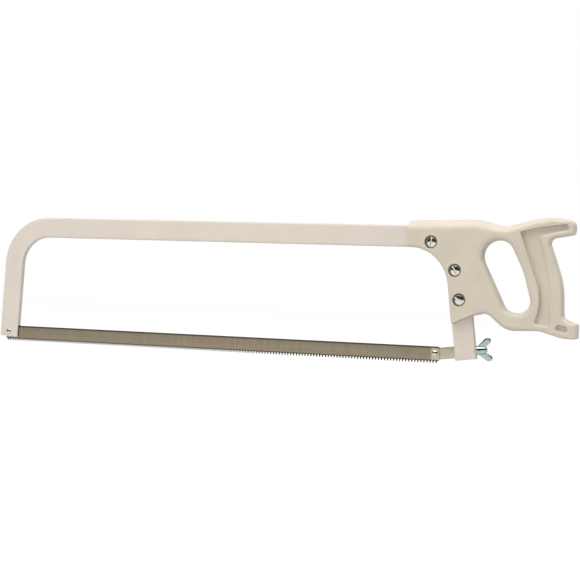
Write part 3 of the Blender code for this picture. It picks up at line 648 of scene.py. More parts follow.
def satin_enamel(finishes):
    """Satin cream enamel sprayed on steel: a faint orange peel, and a slow drift of tone.

    Its edges and narrow sides, which face away from Y, are drawn greyer: a painted shade of the light falling
    off there.
    """
    material, tree, shader = new_finish("satin_enamel")
    place = add_node(tree, "ShaderNodeTexCoord")
    on_tube = {"Vector": (place, "Object")}
    drift = add_node(tree, "ShaderNodeTexNoise", {"Scale": per_metre(ENAMEL_DRIFT), "Detail": 2}, on_tube)
    cover = add_node(
        tree, "ShaderNodeValToRGB", links={"Fac": (drift, "Fac")},
        stops=((0.3, tone(finishes.enamel, 0.965)), (0.7, tone(finishes.enamel, 1.025))))
    facing = add_node(tree, "ShaderNodeSeparateXYZ", links={"Vector": (place, "Normal")})
    broad = add_node(tree, "ShaderNodeMath", links={0: (facing, "Y")}, operation="ABSOLUTE")
    # Painted shade: the further a face turns from Y, the more it takes the greyer side colour
    side_shade_share = add_node(
        tree, "ShaderNodeMapRange", {"From Min": 0.9, "From Max": 0.4}, {"Value": (broad, "Value")})
    shaded_enamel = add_node(
        tree, "ShaderNodeMix", {"B": tone(finishes.enamel_side_shade)},
        {"Factor": (side_shade_share, "Result"), "A": (cover, "Color")}, data_type="RGBA")
    peel = add_node(tree, "ShaderNodeTexNoise", {"Scale": per_metre(ENAMEL_PEEL), "Detail": 1}, on_tube)
    bump = add_node(
        tree, "ShaderNodeBump", {"Strength": 0.12, "Distance": BUMP_HEIGHT}, {"Height": (peel, "Fac")})
    set_inputs(
        tree, shader, {"Roughness": 0.42}, {"Base Color": (shaded_enamel, "Result"), "Normal": (bump, "Normal")})
    return material


def moulded_plastic(finishes):
    """Cream moulded plastic: the fine spark texture of its mould, drawn 1 mm coarse so that it shows.

    Its edges and walls are drawn darker where they face away from Y and not upwards: a painted shade.
    """
    material, tree, shader = new_finish("moulded_plastic")
    place = add_node(tree, "ShaderNodeTexCoord")
    on_grip = {"Vector": (place, "Object")}
    flow = add_node(tree, "ShaderNodeTexNoise", {"Scale": per_metre(PLASTIC_FLOW), "Detail": 3}, on_grip)
    cover = add_node(
        tree, "ShaderNodeValToRGB", links={"Fac": (flow, "Fac")},
        stops=((0.3, tone(finishes.plastic, 0.96)), (0.7, tone(finishes.plastic, 1.03))))
    facing = add_node(tree, "ShaderNodeSeparateXYZ", links={"Vector": (place, "Normal")})
    broad = add_node(tree, "ShaderNodeMath", links={0: (facing, "Y")}, operation="ABSOLUTE")
    wall = add_node(
        tree, "ShaderNodeMapRange", {"From Min": 0.8, "From Max": 0.3}, {"Value": (broad, "Value")})
    low = add_node(tree, "ShaderNodeMapRange", {"From Min": 0.5, "From Max": 0.1}, {"Value": (facing, "Z")})
    # Painted shade: walls that turn from Y and do not face up are drawn darker
    plastic_shade_share = add_node(
        tree, "ShaderNodeMath", links={0: (wall, "Result"), 1: (low, "Result")}, operation="MULTIPLY")
    shaded_plastic = add_node(
        tree, "ShaderNodeMix", {"B": tone(finishes.plastic_side_shade)},
        {"Factor": (plastic_shade_share, "Value"), "A": (cover, "Color")}, data_type="RGBA")
    spark = add_node(tree, "ShaderNodeTexNoise", {"Scale": per_metre(PLASTIC_SPARK), "Detail": 2}, on_grip)
    bump = add_node(
        tree, "ShaderNodeBump", {"Strength": 0.2, "Distance": BUMP_HEIGHT}, {"Height": (spark, "Fac")})
    set_inputs(
        tree, shader, {"Roughness": 0.5}, {"Base Color": (shaded_plastic, "Result"), "Normal": (bump, "Normal")})
    return material


def rolled_steel(finishes):
    """Rolled blade steel: streaks along its length and fine scratches across it.

    A dark line runs along its back, its hardened points are dark, and its rear end is pale round
    the pin.
    """
    material, tree, shader = new_finish("rolled_steel")
    low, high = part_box("blade")
    place = add_node(tree, "ShaderNodeTexCoord")
    marks = []
    for (along, up), detail in ((BLADE_STREAK, 4), (BLADE_SCRATCH, 3)):
        stretch = add_node(
            tree, "ShaderNodeMapping", {"Scale": (per_metre(along), 1, per_metre(up))},
            {"Vector": (place, "Object")})
        marks.append(add_node(
            tree, "ShaderNodeTexNoise", {"Scale": 1, "Detail": detail}, {"Vector": (stretch, "Vector")}))
    worn = add_node(
        tree, "ShaderNodeMix", {"Factor": 0.45}, {"A": (marks[0], "Fac"), "B": (marks[1], "Fac")})
    split = add_node(tree, "ShaderNodeSeparateXYZ", links={"Vector": (place, "Object")})
    # Painted shade: the blade is drawn darker towards its back and lighter towards its points
    height_shade = add_node(
        tree, "ShaderNodeMapRange", {"From Min": low.z, "From Max": high.z, "To Min": 0.05, "To Max": -0.12},
        {"Value": (split, "Z")})
    height_shaded = add_node(tree, "ShaderNodeMath", links={0: (worn, "Result"), 1: (height_shade, "Result")})
    cover = add_node(
        tree, "ShaderNodeValToRGB", links={"Fac": (height_shaded, "Value")},
        stops=((0.32, tone(finishes.blade, 0.78)), (0.68, tone(finishes.blade, 1.2))))
    shaded = (cover, "Color")
    for shade, axis, zero, way, (start, full) in (
            (finishes.blade_end, "X", high.x, -MM, BLADE_END_BAND),
            (finishes.blade_points, "Z", low.z, MM, BLADE_POINTS_BAND),
            (finishes.blade_back, "Z", high.z, -MM, BLADE_BACK_BAND)):
        share = add_node(
            tree, "ShaderNodeMapRange", {"From Min": zero + way * start, "From Max": zero + way * full},
            {"Value": (split, axis)})
        band = add_node(
            tree, "ShaderNodeMix", {"B": tone(shade)}, {"Factor": (share, "Result"), "A": shaded},
            data_type="RGBA")
        shaded = (band, "Result")
    rough = add_node(
        tree, "ShaderNodeMapRange", {"To Min": 0.36, "To Max": 0.5}, {"Value": (worn, "Result")})
    set_inputs(tree, shader, {"Metallic": 1.0}, {"Base Color": shaded, "Roughness": (rough, "Result")})
    return material


def plated_steel(name, shade, roughness, grain):
    """Plated steel: small patches of tone and of gloss, as plating dries on it, a grain in size."""
    material, tree, shader = new_finish(name)
    place = add_node(tree, "ShaderNodeTexCoord")
    patch = add_node(
        tree, "ShaderNodeTexNoise", {"Scale": per_metre(grain), "Detail": 3}, {"Vector": (place, "Object")})
    cover = add_node(
        tree, "ShaderNodeValToRGB", links={"Fac": (patch, "Fac")},
        stops=((0.3, tone(shade, 0.88)), (0.7, tone(shade, 1.1))))
    gloss = add_node(
        tree, "ShaderNodeMapRange", {"To Min": roughness * 0.8, "To Max": roughness * 1.2},
        {"Value": (patch, "Fac")})
    set_inputs(
        tree, shader, {"Metallic": 1.0}, {"Base Color": (cover, "Color"), "Roughness": (gloss, "Result")})
    return material


# Pieces

class SAW_OT_bow(bpy.types.Operator):
    """Build the bent tube"""
    bl_idname = "saw.bow"
    bl_label = "Bow frame"

    bend_steps = 36
    corner_steps = 6
    side_steps = 6

    def section(self, bow, strap_y, inset):
        """Return the tube's section as (offset, y): a rounded rectangle, stepped where openings start.

        On a rounded edge the offset drops by radius - sqrt(radius^2 - t^2), t past the edge's start.
        An inset shrinks it, but the levels within the stud's hole, where the openings start, stay.
        """
        half = bow.depth / 2
        start = half - bow.corner
        opened = bow.stud_hole / 2
        arc = start + bow.corner * np.sin(np.linspace(0, QUARTER_TURN, self.corner_steps + 1))
        steps = [
            BLADE_Y - bow.notch_width / 2, BLADE_Y + bow.notch_width / 2,
            strap_y - bow.slot_width / 2, strap_y + bow.slot_width / 2, -opened, opened,
        ]
        across = np.unique(np.round(np.concatenate([arc, -arc, steps]), decimals=7))
        beyond = np.clip(np.abs(across) - opened, 0, None) * (half - inset - opened) / (half - opened)
        level = np.sign(across) * (np.minimum(np.abs(across), opened) + beyond)
        radius = bow.corner - inset
        past = np.clip(np.abs(level) - start, 0, radius)
        drop = radius - np.sqrt(np.clip(radius ** 2 - past ** 2, 0, None))
        offset = bow.height / 2 - inset - drop
        side = np.linspace(1, -1, self.side_steps + 1)[1:-1] * offset[-1]
        far = np.full(len(side), level[-1])
        places = np.concatenate([offset, side, -offset[::-1], -side])
        return places, np.concatenate([level, far, level[::-1], -far])

    def execute(self, context):
        scene = context.scene
        bow = scene.saw_bow
        front, nose, heel, rear, on_rear = bow_line(bow, scene.saw_tension)
        corners = [(*front, 0, 0), (*nose, bow.front_bend, 0), (*heel, bow.rear_bend, 0), (*rear, 0, 0)]
        line = open_outline(corners, self.bend_steps)
        crossing = distances(line[0])[-1] - np.linalg.norm(on_rear - rear)
        half_slot = bow.slot_length / 2
        half_hole = bow.stud_hole / 2
        cuts = [
            bow.notch_top, crossing - half_slot, crossing + half_slot, crossing - half_hole,
            crossing + half_hole,
        ]
        points, normals, _, along = stations(*line, TUBE_GAP, cuts)
        strap_y = scene.saw_tension.strap_face + scene.saw_tension.strap / 2
        sections = [self.section(bow, strap_y, inset) for inset in (0.0, bow.wall)]
        walls = [
            lift(points + normals * places[:, None, None], levels[:, None]) for places, levels in sections]
        keep = self.kept(bow, strap_y, *sections[0], along, crossing)
        skin = Skin()
        self.shell(skin, *walls, keep)
        make_piece("bow_frame", skin, satin_enamel(scene.saw_finishes), "saw_frame")
        return {"FINISHED"}

    def kept(self, bow, strap_y, places, levels, along, crossing):
        """Return which cells of the wall stay: all but the notch, the strap's slot and the stud's hole."""
        mid_y = (levels + np.roll(levels, -1))[:, None] / 2
        mid_place = (places + np.roll(places, -1))[:, None] / 2
        mid_along = (along[1:] + along[:-1]) / 2
        edge = bow.height / 2 - bow.corner
        inner = mid_place < -edge
        outer = mid_place > edge
        notch = inner & (np.abs(mid_y - BLADE_Y) < bow.notch_width / 2) & (mid_along < bow.notch_top)
        near = np.abs(mid_along - crossing)
        slot = inner & (np.abs(mid_y - strap_y) < bow.slot_width / 2) & (near < bow.slot_length / 2)
        hole = outer & (np.abs(mid_y) < bow.stud_hole / 2) & (near < bow.stud_hole / 2)
        return ~(notch | slot | hole)

    def shell(self, skin, outside, inside, keep):
        """Add a wall between two matching grids, closed round its section, its ends and its openings."""
        rows, columns = outside.shape[:2]
        outer = np.arange(rows * columns).reshape(rows, columns)
        inner = outer + rows * columns
        after_out = np.roll(outer, -1, axis=0)
        after_in = np.roll(inner, -1, axis=0)
        faces = []
        for near, after in ((outer, after_out), (inner, after_in)):
            cells = np.stack([near[:, :-1], near[:, 1:], after[:, 1:], after[:, :-1]], axis=-1)
            faces.append(cells[keep])
        seam = keep != np.roll(keep, 1, axis=0)
        sides = np.stack([outer[:, :-1], outer[:, 1:], inner[:, 1:], inner[:, :-1]], axis=-1)
        faces.append(sides[seam])
        padded = np.pad(keep, ((0, 0), (1, 1)))
        ends = np.stack([outer, after_out, after_in, inner], axis=-1)
        faces.append(ends[padded[:, 1:] != padded[:, :-1]])
        skin.add(np.concatenate([outside.reshape(-1, 3), inside.reshape(-1, 3)]), np.concatenate(faces))


class SAW_OT_grip(bpy.types.Operator):
    """Build the moulded grip"""
    bl_idname = "saw.grip"
    bl_label = "Grip"

    corner_steps = 10
    edge_steps = 10
    hole_corner_steps = 12
    hole_edge_steps = 8
    mouth_steps = 6
    floor_steps = 4
    bore_steps = 48
    bore_lip_steps = 3
    bend_steps = 24
    edge_support = 0.4 * MM
    mouth_support = 0.25 * MM
    bore_support = 0.2 * MM
    least_wall = 0.7 * MM
    least_pocket_wall = 0.2 * MM

    def execute(self, context):
        scene = context.scene
        bow = scene.saw_bow
        grip = scene.saw_grip
        heel, rear = bow_line(bow, scene.saw_tension)[2:4]
        half = grip.thickness / 2
        channel = bow.depth / 2 + grip.channel_room
        roof = bow.height / 2 + grip.channel_room
        leg = unit(rear - heel)
        start_x = heel[0] - grip.saddle_length
        corners, mouth = self.corners(bow, grip, heel, leg, roof, start_x)
        line = open_outline(corners, self.corner_steps)
        points, normals, edges, _ = stations(*line, GRIP_GAP)
        normals[0] = (0, 1)
        normals[-1] = (0, -1)
        opening = int(np.argmin(np.linalg.norm(points - mouth, axis=1)))
        sink = np.minimum(edges * grip.edge_depth, half - self.least_wall)
        back = rim(
            points, normals, edges, half, -1, self.edge_steps, self.edge_support, sink, grip.edge_bevel)
        level = lift(points, np.minimum(channel, half - sink))
        rows = np.concatenate([back * (1, -1, 1), [level * (1, -1, 1)], [level], back[::-1]])
        keep = np.ones((len(rows) - 1, len(points) - 1), dtype=bool)
        keep[len(back), opening:] = False
        skin = Skin()
        skin.grid(rows, keep=keep)

        hole, hole_out, hole_edge = closed_stations(
            from_heel(FINGER_HOLE, heel), self.hole_corner_steps, OPENING_GAP)
        hole_back = rim(
            hole, hole_out, hole_edge[:, 0], half, 1, self.hole_edge_steps, self.edge_support)
        skin.grid(np.concatenate([hole_back * (1, -1, 1), hole_back[::-1]]), closed=(False, True))

        pockets = [
            self.pocket_rings(grip, from_heel(pocket, heel), half) for pocket in (PALM_POCKET, HORN_POCKET)]
        screws = [in_plane(middle("handle_screw_" + place)) for place in SCREW_PLACES]
        bores = [self.bore_rings(grip, screw, half, channel) for screw in screws]
        mouths = [in_plane(rings[0]) for rings in [back, hole_back, *pockets, *bores]]
        for mirror in (1, -1):
            side = np.array([1, mirror, 1])
            for rings in pockets + bores:
                skin.grid(rings * side, closed=(False, True))
            for rings in pockets:
                floor = rings[-1] * side
                skin.flat([in_plane(floor)], lambda flat, source: lift(flat, floor[source, 1]))
            skin.fill(mouths, half * mirror)

        bend = math.acos(float(leg[0]))
        bend_start = heel - (bow.rear_bend * math.tan(bend / 2), 0)
        swing = np.linspace(0, bend, self.bend_steps + 1)
        spokes = np.stack([np.sin(swing), np.cos(swing)], axis=1)
        roof_line = np.vstack([
            [(start_x, heel[1] + roof)],
            bend_start - (0, bow.rear_bend) + spokes * (bow.rear_bend + roof),
            [mouth],
        ])
        skin.grid(np.stack([lift(roof_line, -channel), lift(roof_line, channel)]))
        wall_loop = np.vstack([roof_line, points[opening + 1:]])
        holes = [in_plane(rings[-1]) for rings in bores]
        for mirror in (1, -1):
            skin.fill([wall_loop, *holes], channel * mirror)
        self.front_end(skin, rows, roof_line[0, 1], channel, start_x)
        make_piece(
            "handle", skin, moulded_plastic(scene.saw_finishes), "saw_frame",
            sharp=GRIP_SHARP_ANGLE)
        return {"FINISHED"}

    def corners(self, bow, grip, heel, leg, roof, start_x):
        """Return the corners of the grip's outline, and the place where it opens for the tube's leg.

        The outline runs over the grip, round the end of the saddle and back along the tube's inner side.
        """
        lip = bow.height / 2 - grip.saddle_lip
        out = left(leg)
        outer_end = at_level(heel + out * (bow.height / 2), leg, heel[1] + SADDLE_OUTER_DROP * MM)
        inner_end = at_level(heel - out * lip, leg, heel[1] + SADDLE_INNER_DROP * MM)
        bar_low = heel[1] - lip
        crook = at_level(heel - out * lip, leg, bar_low)
        over = from_heel(GRIP_CORNERS, heel)
        arch = over[-1, :2]
        toward = outer_end - arch
        mouth = arch + toward * ((heel + out * roof - arch) @ out / (toward @ out))
        corners = np.vstack([
            [(start_x, heel[1] + grip.saddle_top, 0, over[0, 3])],
            over,
            [(*mouth, 0, MOUTH_EDGE * MM)],
            [(*end, SADDLE_END_CORNER * MM, SADDLE_END_EDGE * MM) for end in (outer_end, inner_end)],
            [(*crook, bow.rear_bend - lip, SADDLE_EDGE * MM)],
            [(start_x, bar_low, 0, SADDLE_EDGE * MM)],
        ])
        return corners, mouth

    def pocket_rings(self, grip, corners, half):
        """Return a pocket's rings: a rounded mouth, a wall that leans by its draft, and a rounded floor.

        The floor's rounding stands radius * (1 - cos a) in from the wall and radius * (1 - sin a) above it.
        """
        points, normals, values = closed_stations(corners, self.corner_steps, OPENING_GAP)
        lip, draft, low = values.T
        room = half - low - grip.pocket_floor - self.least_pocket_wall
        sink = np.minimum(lip * grip.lip_depth, room)
        mouth = rim(
            points, normals, lip, half, 1, self.mouth_steps, self.mouth_support, sink, grip.edge_bevel)
        turned = np.linspace(0, QUARTER_TURN, self.floor_steps + 1)[:, None]
        inset = draft + grip.pocket_floor * (1 - np.cos(turned))
        height = low + grip.pocket_floor * (1 - np.sin(turned))
        floor = lift(points - normals * inset[..., None], height)
        return np.concatenate([mouth, floor])

    def bore_rings(self, grip, screw, half, channel):
        """Return a counterbore's rings: its rounded mouth, its wall, its floor and the screw's hole."""
        points, normals = circle(screw, grip.counterbore / 2, self.bore_steps)
        mouth = rim(
            points, normals, grip.counterbore_lip, half, 1, self.bore_lip_steps, self.bore_support)
        seat = lift(points, grip.counterbore_seat)
        shank = points - normals * (grip.counterbore / 2 - grip.screw_hole / 2)
        return np.concatenate([mouth, [seat], [lift(shank, grip.counterbore_seat)], [lift(shank, channel)]])

    def front_end(self, skin, rows, roof, channel, start_x):
        """Close the grip's front end, a flat arch over the tube, from the ends of the rings round it."""
        over = rows[:, 0, 1:]
        under = rows[::-1, -1, 1:]
        gap = len(under) // 2
        tunnel = np.array([(channel, roof), (-channel, roof)])
        loop = np.vstack([over, under[:gap], tunnel, under[gap:]])
        skin.flat([loop], lambda flat, source: np.column_stack([np.full(len(flat), start_x), flat]))


class SAW_OT_blade(bpy.types.Operator):
    """Build the blade"""
    bl_idname = "saw.blade"
    bl_label = "Blade"

    corner_steps = 5
    hole_steps = 32
    end_steps = 14
    long_hole_room = 0.5 * MM
    long_hole_play = 0.15 * MM
    bent_share = 0.9
    same_tooth = 1e-6

    def execute(self, context):
        scene = context.scene
        sizes = scene.saw_blade
        low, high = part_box("blade")
        shape = np.array(TOOTH_SHAPE)
        gullet = (1 - shape[-1, 0]) * sizes.pitch
        count = int((high.x - low.x + gullet - 2 * sizes.tooth_corner) / sizes.pitch)
        first = (low.x + high.x + gullet - count * sizes.pitch) / 2
        teeth_x = first + (np.arange(count)[:, None] + shape[:, 0]) * sizes.pitch
        teeth_z = np.broadcast_to(low.z + shape[:, 1] * sizes.depth, teeth_x.shape)
        teeth = np.stack([teeth_x.ravel(), teeth_z.ravel()], axis=1)[::-1]
        root = low.z + sizes.depth
        box = [
            (low.x, root, sizes.tooth_corner), (low.x, high.z, sizes.corner), (high.x, high.z, sizes.corner),
            (high.x, root, sizes.tooth_corner),
        ]
        outline = np.vstack([closed_outline(box, self.corner_steps)[0], teeth])
        ring = circle(REAR_PIN, sizes.hole / 2, self.hole_steps)[0]
        swing = np.linspace(0, math.pi, self.end_steps + 1)
        end = np.stack([np.sin(swing), np.cos(swing)], axis=1) * (sizes.hole / 2 + self.long_hole_room)
        travel = -joint("draw_slide")["range_m"][0]
        long_hole = np.vstack([
            FRONT_PIN + (travel + self.long_hole_play, 0) + end, FRONT_PIN - (self.long_hole_play, 0) - end])
        loops = [outline, ring, long_hole]
        skin = Skin()
        for loop in loops:
            skin.grid(np.stack([lift(loop, low.y), lift(loop, high.y)]), closed=(False, True))
        for level in (low.y, high.y):
            skin.fill(loops, level)
        self.bend_teeth(skin, sizes, first, low.z)
        make_piece("blade", skin, rolled_steel(scene.saw_finishes), "drawn_blade")
        return {"FINISHED"}

    def bend_teeth(self, skin, sizes, first, tips):
        """Bend the teeth to alternate sides: by their set at the tips, and evenly less up to the bend."""
        bent = sizes.depth * self.bent_share
        for points in skin.points:
            side = 1 - 2 * (np.floor((points[:, 0] - first) / sizes.pitch + self.same_tooth) % 2)
            below = np.clip((tips + bent - points[:, 2]) / bent, 0, 1)
            points[:, 1] += side * below * sizes.tooth_set


class SAW_OT_pins(bpy.types.Operator):
    """Build the two pins that the blade hooks on"""
    bl_idname = "saw.pins"
    bl_label = "Blade pins"

    dome_rings = 8
    round_steps = 32

    def dome(self, radius, height):
        """Return a domed head's profile, from its rim to its pole, as part of a sphere."""
        ball = (radius ** 2 + height ** 2) / (2 * height)
        reach = math.asin(min(1.0, radius / ball))
        swing = np.linspace(reach, 0, self.dome_rings)
        return np.stack([ball * np.sin(swing), ball * np.cos(swing) - ball + height], axis=1)

    def execute(self, context):
        scene = context.scene
        sizes = scene.saw_fasteners
        finish = plated_steel("turned_pin_steel", scene.saw_finishes.pin, roughness=0.2, grain=PIN_GRAIN)
        radius = sizes.pin / 2
        head = sizes.pin_head / 2
        for node, place, body in (
                ("front_blade_pin", FRONT_PIN, "saw_frame"), ("rear_blade_pin", REAR_PIN, "drawn_blade")):
            low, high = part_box(node)
            dome = self.dome(head, sizes.pin_dome) + (0, -low.y - sizes.pin_dome)
            rivet = self.dome(head, sizes.pin_rivet) + (0, high.y - sizes.pin_rivet)
            profile = np.vstack([
                dome[::-1], [(radius, dome[0, 1])], [(radius, -rivet[0, 1])], rivet * (1, -1)])
            skin = Skin()
            skin.turned(profile, self.round_steps, stand(place))
            make_piece(node, skin, finish, body)
        return {"FINISHED"}


class SAW_OT_draw_bolt(bpy.types.Operator):
    """Build the strap and its threaded stud"""
    bl_idname = "saw.draw_bolt"
    bl_label = "Draw bolt"

    nose_steps = 24
    hole_steps = 28
    edge_steps = 3
    rows_per_turn = 8
    stud_steps = 24
    flank = 2.6
    flat_crest = 0.3
    stud_taper = 0.8 * MM

    def execute(self, context):
        scene = context.scene
        sizes = scene.saw_tension
        half = sizes.strap_width / 2
        swing = np.linspace(-QUARTER_TURN, QUARTER_TURN, self.nose_steps + 1)
        nose = np.stack([-np.cos(swing), np.sin(swing)], axis=1)
        bar = np.vstack([nose * half, [(sizes.strap_end, half), (sizes.strap_end, -half)]])
        bar_out = np.vstack([nose, [(1.0, 1.0), (1.0, -1.0)]])
        pin = (REAR_PIN - BOLT_START) @ BOLT_TILT.T
        ring = circle(pin, scene.saw_fasteners.pin / 2, self.hole_steps)
        loops = [
            (points @ BOLT_TILT + BOLT_START, normals @ BOLT_TILT)
            for points, normals in ((bar, bar_out), ring)]
        skin = Skin()
        skin.slab(
            loops, sizes.strap_face, sizes.strap_face + sizes.strap, sizes.strap_round, self.edge_steps)
        self.thread(skin, sizes)
        finish = plated_steel(
            "dull_plated_steel", scene.saw_finishes.strap, roughness=0.36, grain=STRAP_GRAIN)
        make_piece("draw_bolt", skin, finish, "drawn_blade")
        return {"FINISHED"}

    def thread(self, skin, sizes):
        """Add the stud: a cylinder cut by a helix.

        At height h and turn a the radius is the stud's less the depth times a flattened saw tooth of
        h / pitch - a / (2 pi). It tapers to its root at the far end, and closes to the axis over both.
        """
        rows = int((sizes.stud_end - sizes.stud_start) / sizes.thread_pitch * self.rows_per_turn)
        height = np.linspace(sizes.stud_start, sizes.stud_end, rows)[:, None]
        phase = (height / sizes.thread_pitch - turns(self.stud_steps) / FULL_TURN) % 1
        tooth = np.clip(np.abs(phase - 0.5) * self.flank - self.flat_crest, 0, 1)
        taper = np.clip((sizes.stud_end - height) / self.stud_taper, 0, 1)
        radius = sizes.stud / 2 - sizes.thread_depth * (1 - taper * (1 - tooth))
        radius[[0, -1]] = 0
        skin.around(radius, height, self.stud_steps, stand(BOLT_START, BOLT_LINE))


class SAW_OT_wing_nut(bpy.types.Operator):
    """Build the wing nut and its washer"""
    bl_idname = "saw.wing_nut"
    bl_label = "Wing nut"

    round_steps = 40
    wing_steps = 8
    wing_edge_depth = 0.95 * MM
    bore_room = 0.15 * MM
    bevel = 0.5 * MM
    washer_back = 1.2 * MM
    washer_room = 0.4 * MM
    washer_bevel = 0.1 * MM

    def execute(self, context):
        scene = context.scene
        sizes = scene.saw_tension
        bevel = self.bevel
        base = sizes.barrel_base / 2
        top = sizes.barrel_top / 2
        bore = sizes.stud / 2 + self.bore_room
        profile = [
            (bore + bevel, 0), (base - bevel, 0), (base, bevel), (base, sizes.collar - bevel),
            (base - bevel / 2, sizes.collar), (top, sizes.barrel - bevel), (top - bevel, sizes.barrel),
            (bore + bevel, sizes.barrel), (bore, sizes.barrel - bevel), (bore, bevel),
        ]
        skin = Skin()
        skin.turned(profile, self.round_steps, stand(NUT_SEAT, BOLT_LINE), closed=True)
        for mirror in (1, -1):
            corners = (np.array(WING_CORNERS) * MM * (1, mirror, 1, 1))[::mirror]
            points, normals = closed_outline(corners, self.wing_steps)
            edges = np.repeat(corners[:, 3], self.wing_steps + 1)
            loop = (points @ BOLT_TILT + NUT_SEAT, normals @ BOLT_TILT)
            skin.slab(
                [loop], -sizes.wing / 2, sizes.wing / 2, edges, self.wing_steps, depth=self.wing_edge_depth)
        finish = plated_steel(
            "bright_blue_zinc", scene.saw_finishes.bright_zinc, roughness=0.15, grain=WING_GRAIN)
        make_piece("wing_nut", skin, finish, "tension_nut")
        profile = washer_profile(
            sizes.stud + self.washer_room, sizes.washer, sizes.washer_thick, self.washer_bevel)
        washer = Skin()
        seat = NUT_SEAT - BOLT_AXIS * self.washer_back
        washer.turned(profile, self.round_steps, stand(seat, BOLT_LINE), closed=True)
        dull = plated_steel(
            "dull_zinc_washer", scene.saw_finishes.zinc, roughness=0.32, grain=SCREW_GRAIN)
        make_piece("wing_nut_washer", washer, dull, "saw_frame")
        return {"FINISHED"}


class SAW_OT_screws(bpy.types.Operator):
    """Build the grip's screws, washers and nuts"""
    bl_idname = "saw.screws"
    bl_label = "Grip screws"

    slot_turns = (88.0, 125.0, 155.0)
    round_steps = 48
    head_steps = 29
    head_rings = 9
    shank_bevel = 0.4 * MM
    head_bevel = 0.15 * MM
    washer_bevel = 0.12 * MM
    nut_corner = 0.4 * MM
    nut_corner_steps = 4
    nut_edge = 0.3 * MM
    nut_edge_steps = 3
    nut_room = 0.1 * MM
    nut_hole_steps = 24

    def execute(self, context):
        scene = context.scene
        sizes = scene.saw_fasteners
        finishes = scene.saw_finishes
        finish = plated_steel("bright_zinc_screws", finishes.zinc, roughness=0.16, grain=SCREW_GRAIN)
        # The washers' dark colour is painted shade, the shadow in each counterbore round the head
        dark = plated_steel("dark_steel_washers", finishes.washer, roughness=0.4, grain=SCREW_GRAIN)
        for place, slot_turn in zip(SCREW_PLACES, self.slot_turns):
            centre = in_plane(middle("handle_screw_" + place))
            self.screw(sizes, "handle_screw_" + place, centre, math.radians(slot_turn), finish)
            for node in ("handle_screw_washer_" + place, "handle_nut_washer_" + place):
                low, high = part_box(node)
                profile = washer_profile(
                    sizes.washer_hole, sizes.washer, high.y - low.y, self.washer_bevel)
                skin = Skin()
                skin.turned(profile, self.round_steps, stand(centre, across=high.y), closed=True)
                make_piece(node, skin, dark, "saw_frame")
            self.nut(sizes, "handle_nut_" + place, centre, finish)
        return {"FINISHED"}

    def nut(self, sizes, node, centre, finish):
        """Build a nut: a plate on a hexagon, with the screw's hole in it."""
        low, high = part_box(node)
        hexagon = circle(centre, sizes.nut_flats / 2 / math.cos(math.pi / 6), 6)[0]
        corners = np.column_stack([hexagon, np.full(6, self.nut_corner)])
        outline = closed_outline(corners, self.nut_corner_steps)
        ring = circle(centre, sizes.shank / 2 + self.nut_room, self.nut_hole_steps)
        skin = Skin()
        skin.slab([outline, ring], low.y, high.y, self.nut_edge, self.nut_edge_steps)
        make_piece(node, skin, finish, "saw_frame")

    def screw(self, sizes, node, centre, slot_turn, finish):
        """Build a screw: a turned shank and head up to the slot's floor, and two D-shaped halves above it.

        A half's rings shrink from the head's rim to the slot's wall, and lie on part of a sphere.
        """
        low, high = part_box(node)
        top = -low.y
        floor = top - sizes.head_dome
        seat = top - sizes.head_height
        head = sizes.head / 2
        shank = sizes.shank / 2
        profile = [
            (0, -high.y), (shank - self.shank_bevel, -high.y), (shank, -high.y + self.shank_bevel),
            (shank, seat), (head - self.head_bevel, seat), (head, seat + self.head_bevel), (head, floor),
            (0, floor),
        ]
        skin = Skin()
        skin.turned(profile, self.round_steps, stand(centre))
        half_slot = sizes.slot_width / 2
        reach = math.asin(half_slot / head)
        swing = np.linspace(math.pi - reach, reach, self.head_steps + 1)
        arc = np.stack([np.cos(swing), np.sin(swing)], axis=1)
        across = np.array([math.cos(slot_turn), math.sin(slot_turn)])
        ball = (head ** 2 + sizes.head_dome ** 2) / (2 * sizes.head_dome)
        radii = np.append(head, np.linspace(head, half_slot, self.head_rings))[:, None, None]
        ring = arc * radii
        ring[..., 1] = np.maximum(ring[..., 1], half_slot)
        ring[:, [0, -1], 1] = half_slot
        out = np.minimum((ring ** 2).sum(axis=-1), head ** 2)
        rise = top - ball + np.sqrt(ball ** 2 - out)
        rise[0] = floor
        for way in (1, -1):
            tilt = np.array([across, left(across)]) * way
            rings = lift(ring @ tilt + centre, -rise)
            skin.grid(rings, closed=(False, True))
            # The last ring lies in the slot's wall, where one face closes it
            skin.add(rings[-1], np.arange(len(rings[-1]))[None])
            skin.fill([in_plane(rings[0])], -floor)
        make_piece(node, skin, finish, "saw_frame")


# Studio

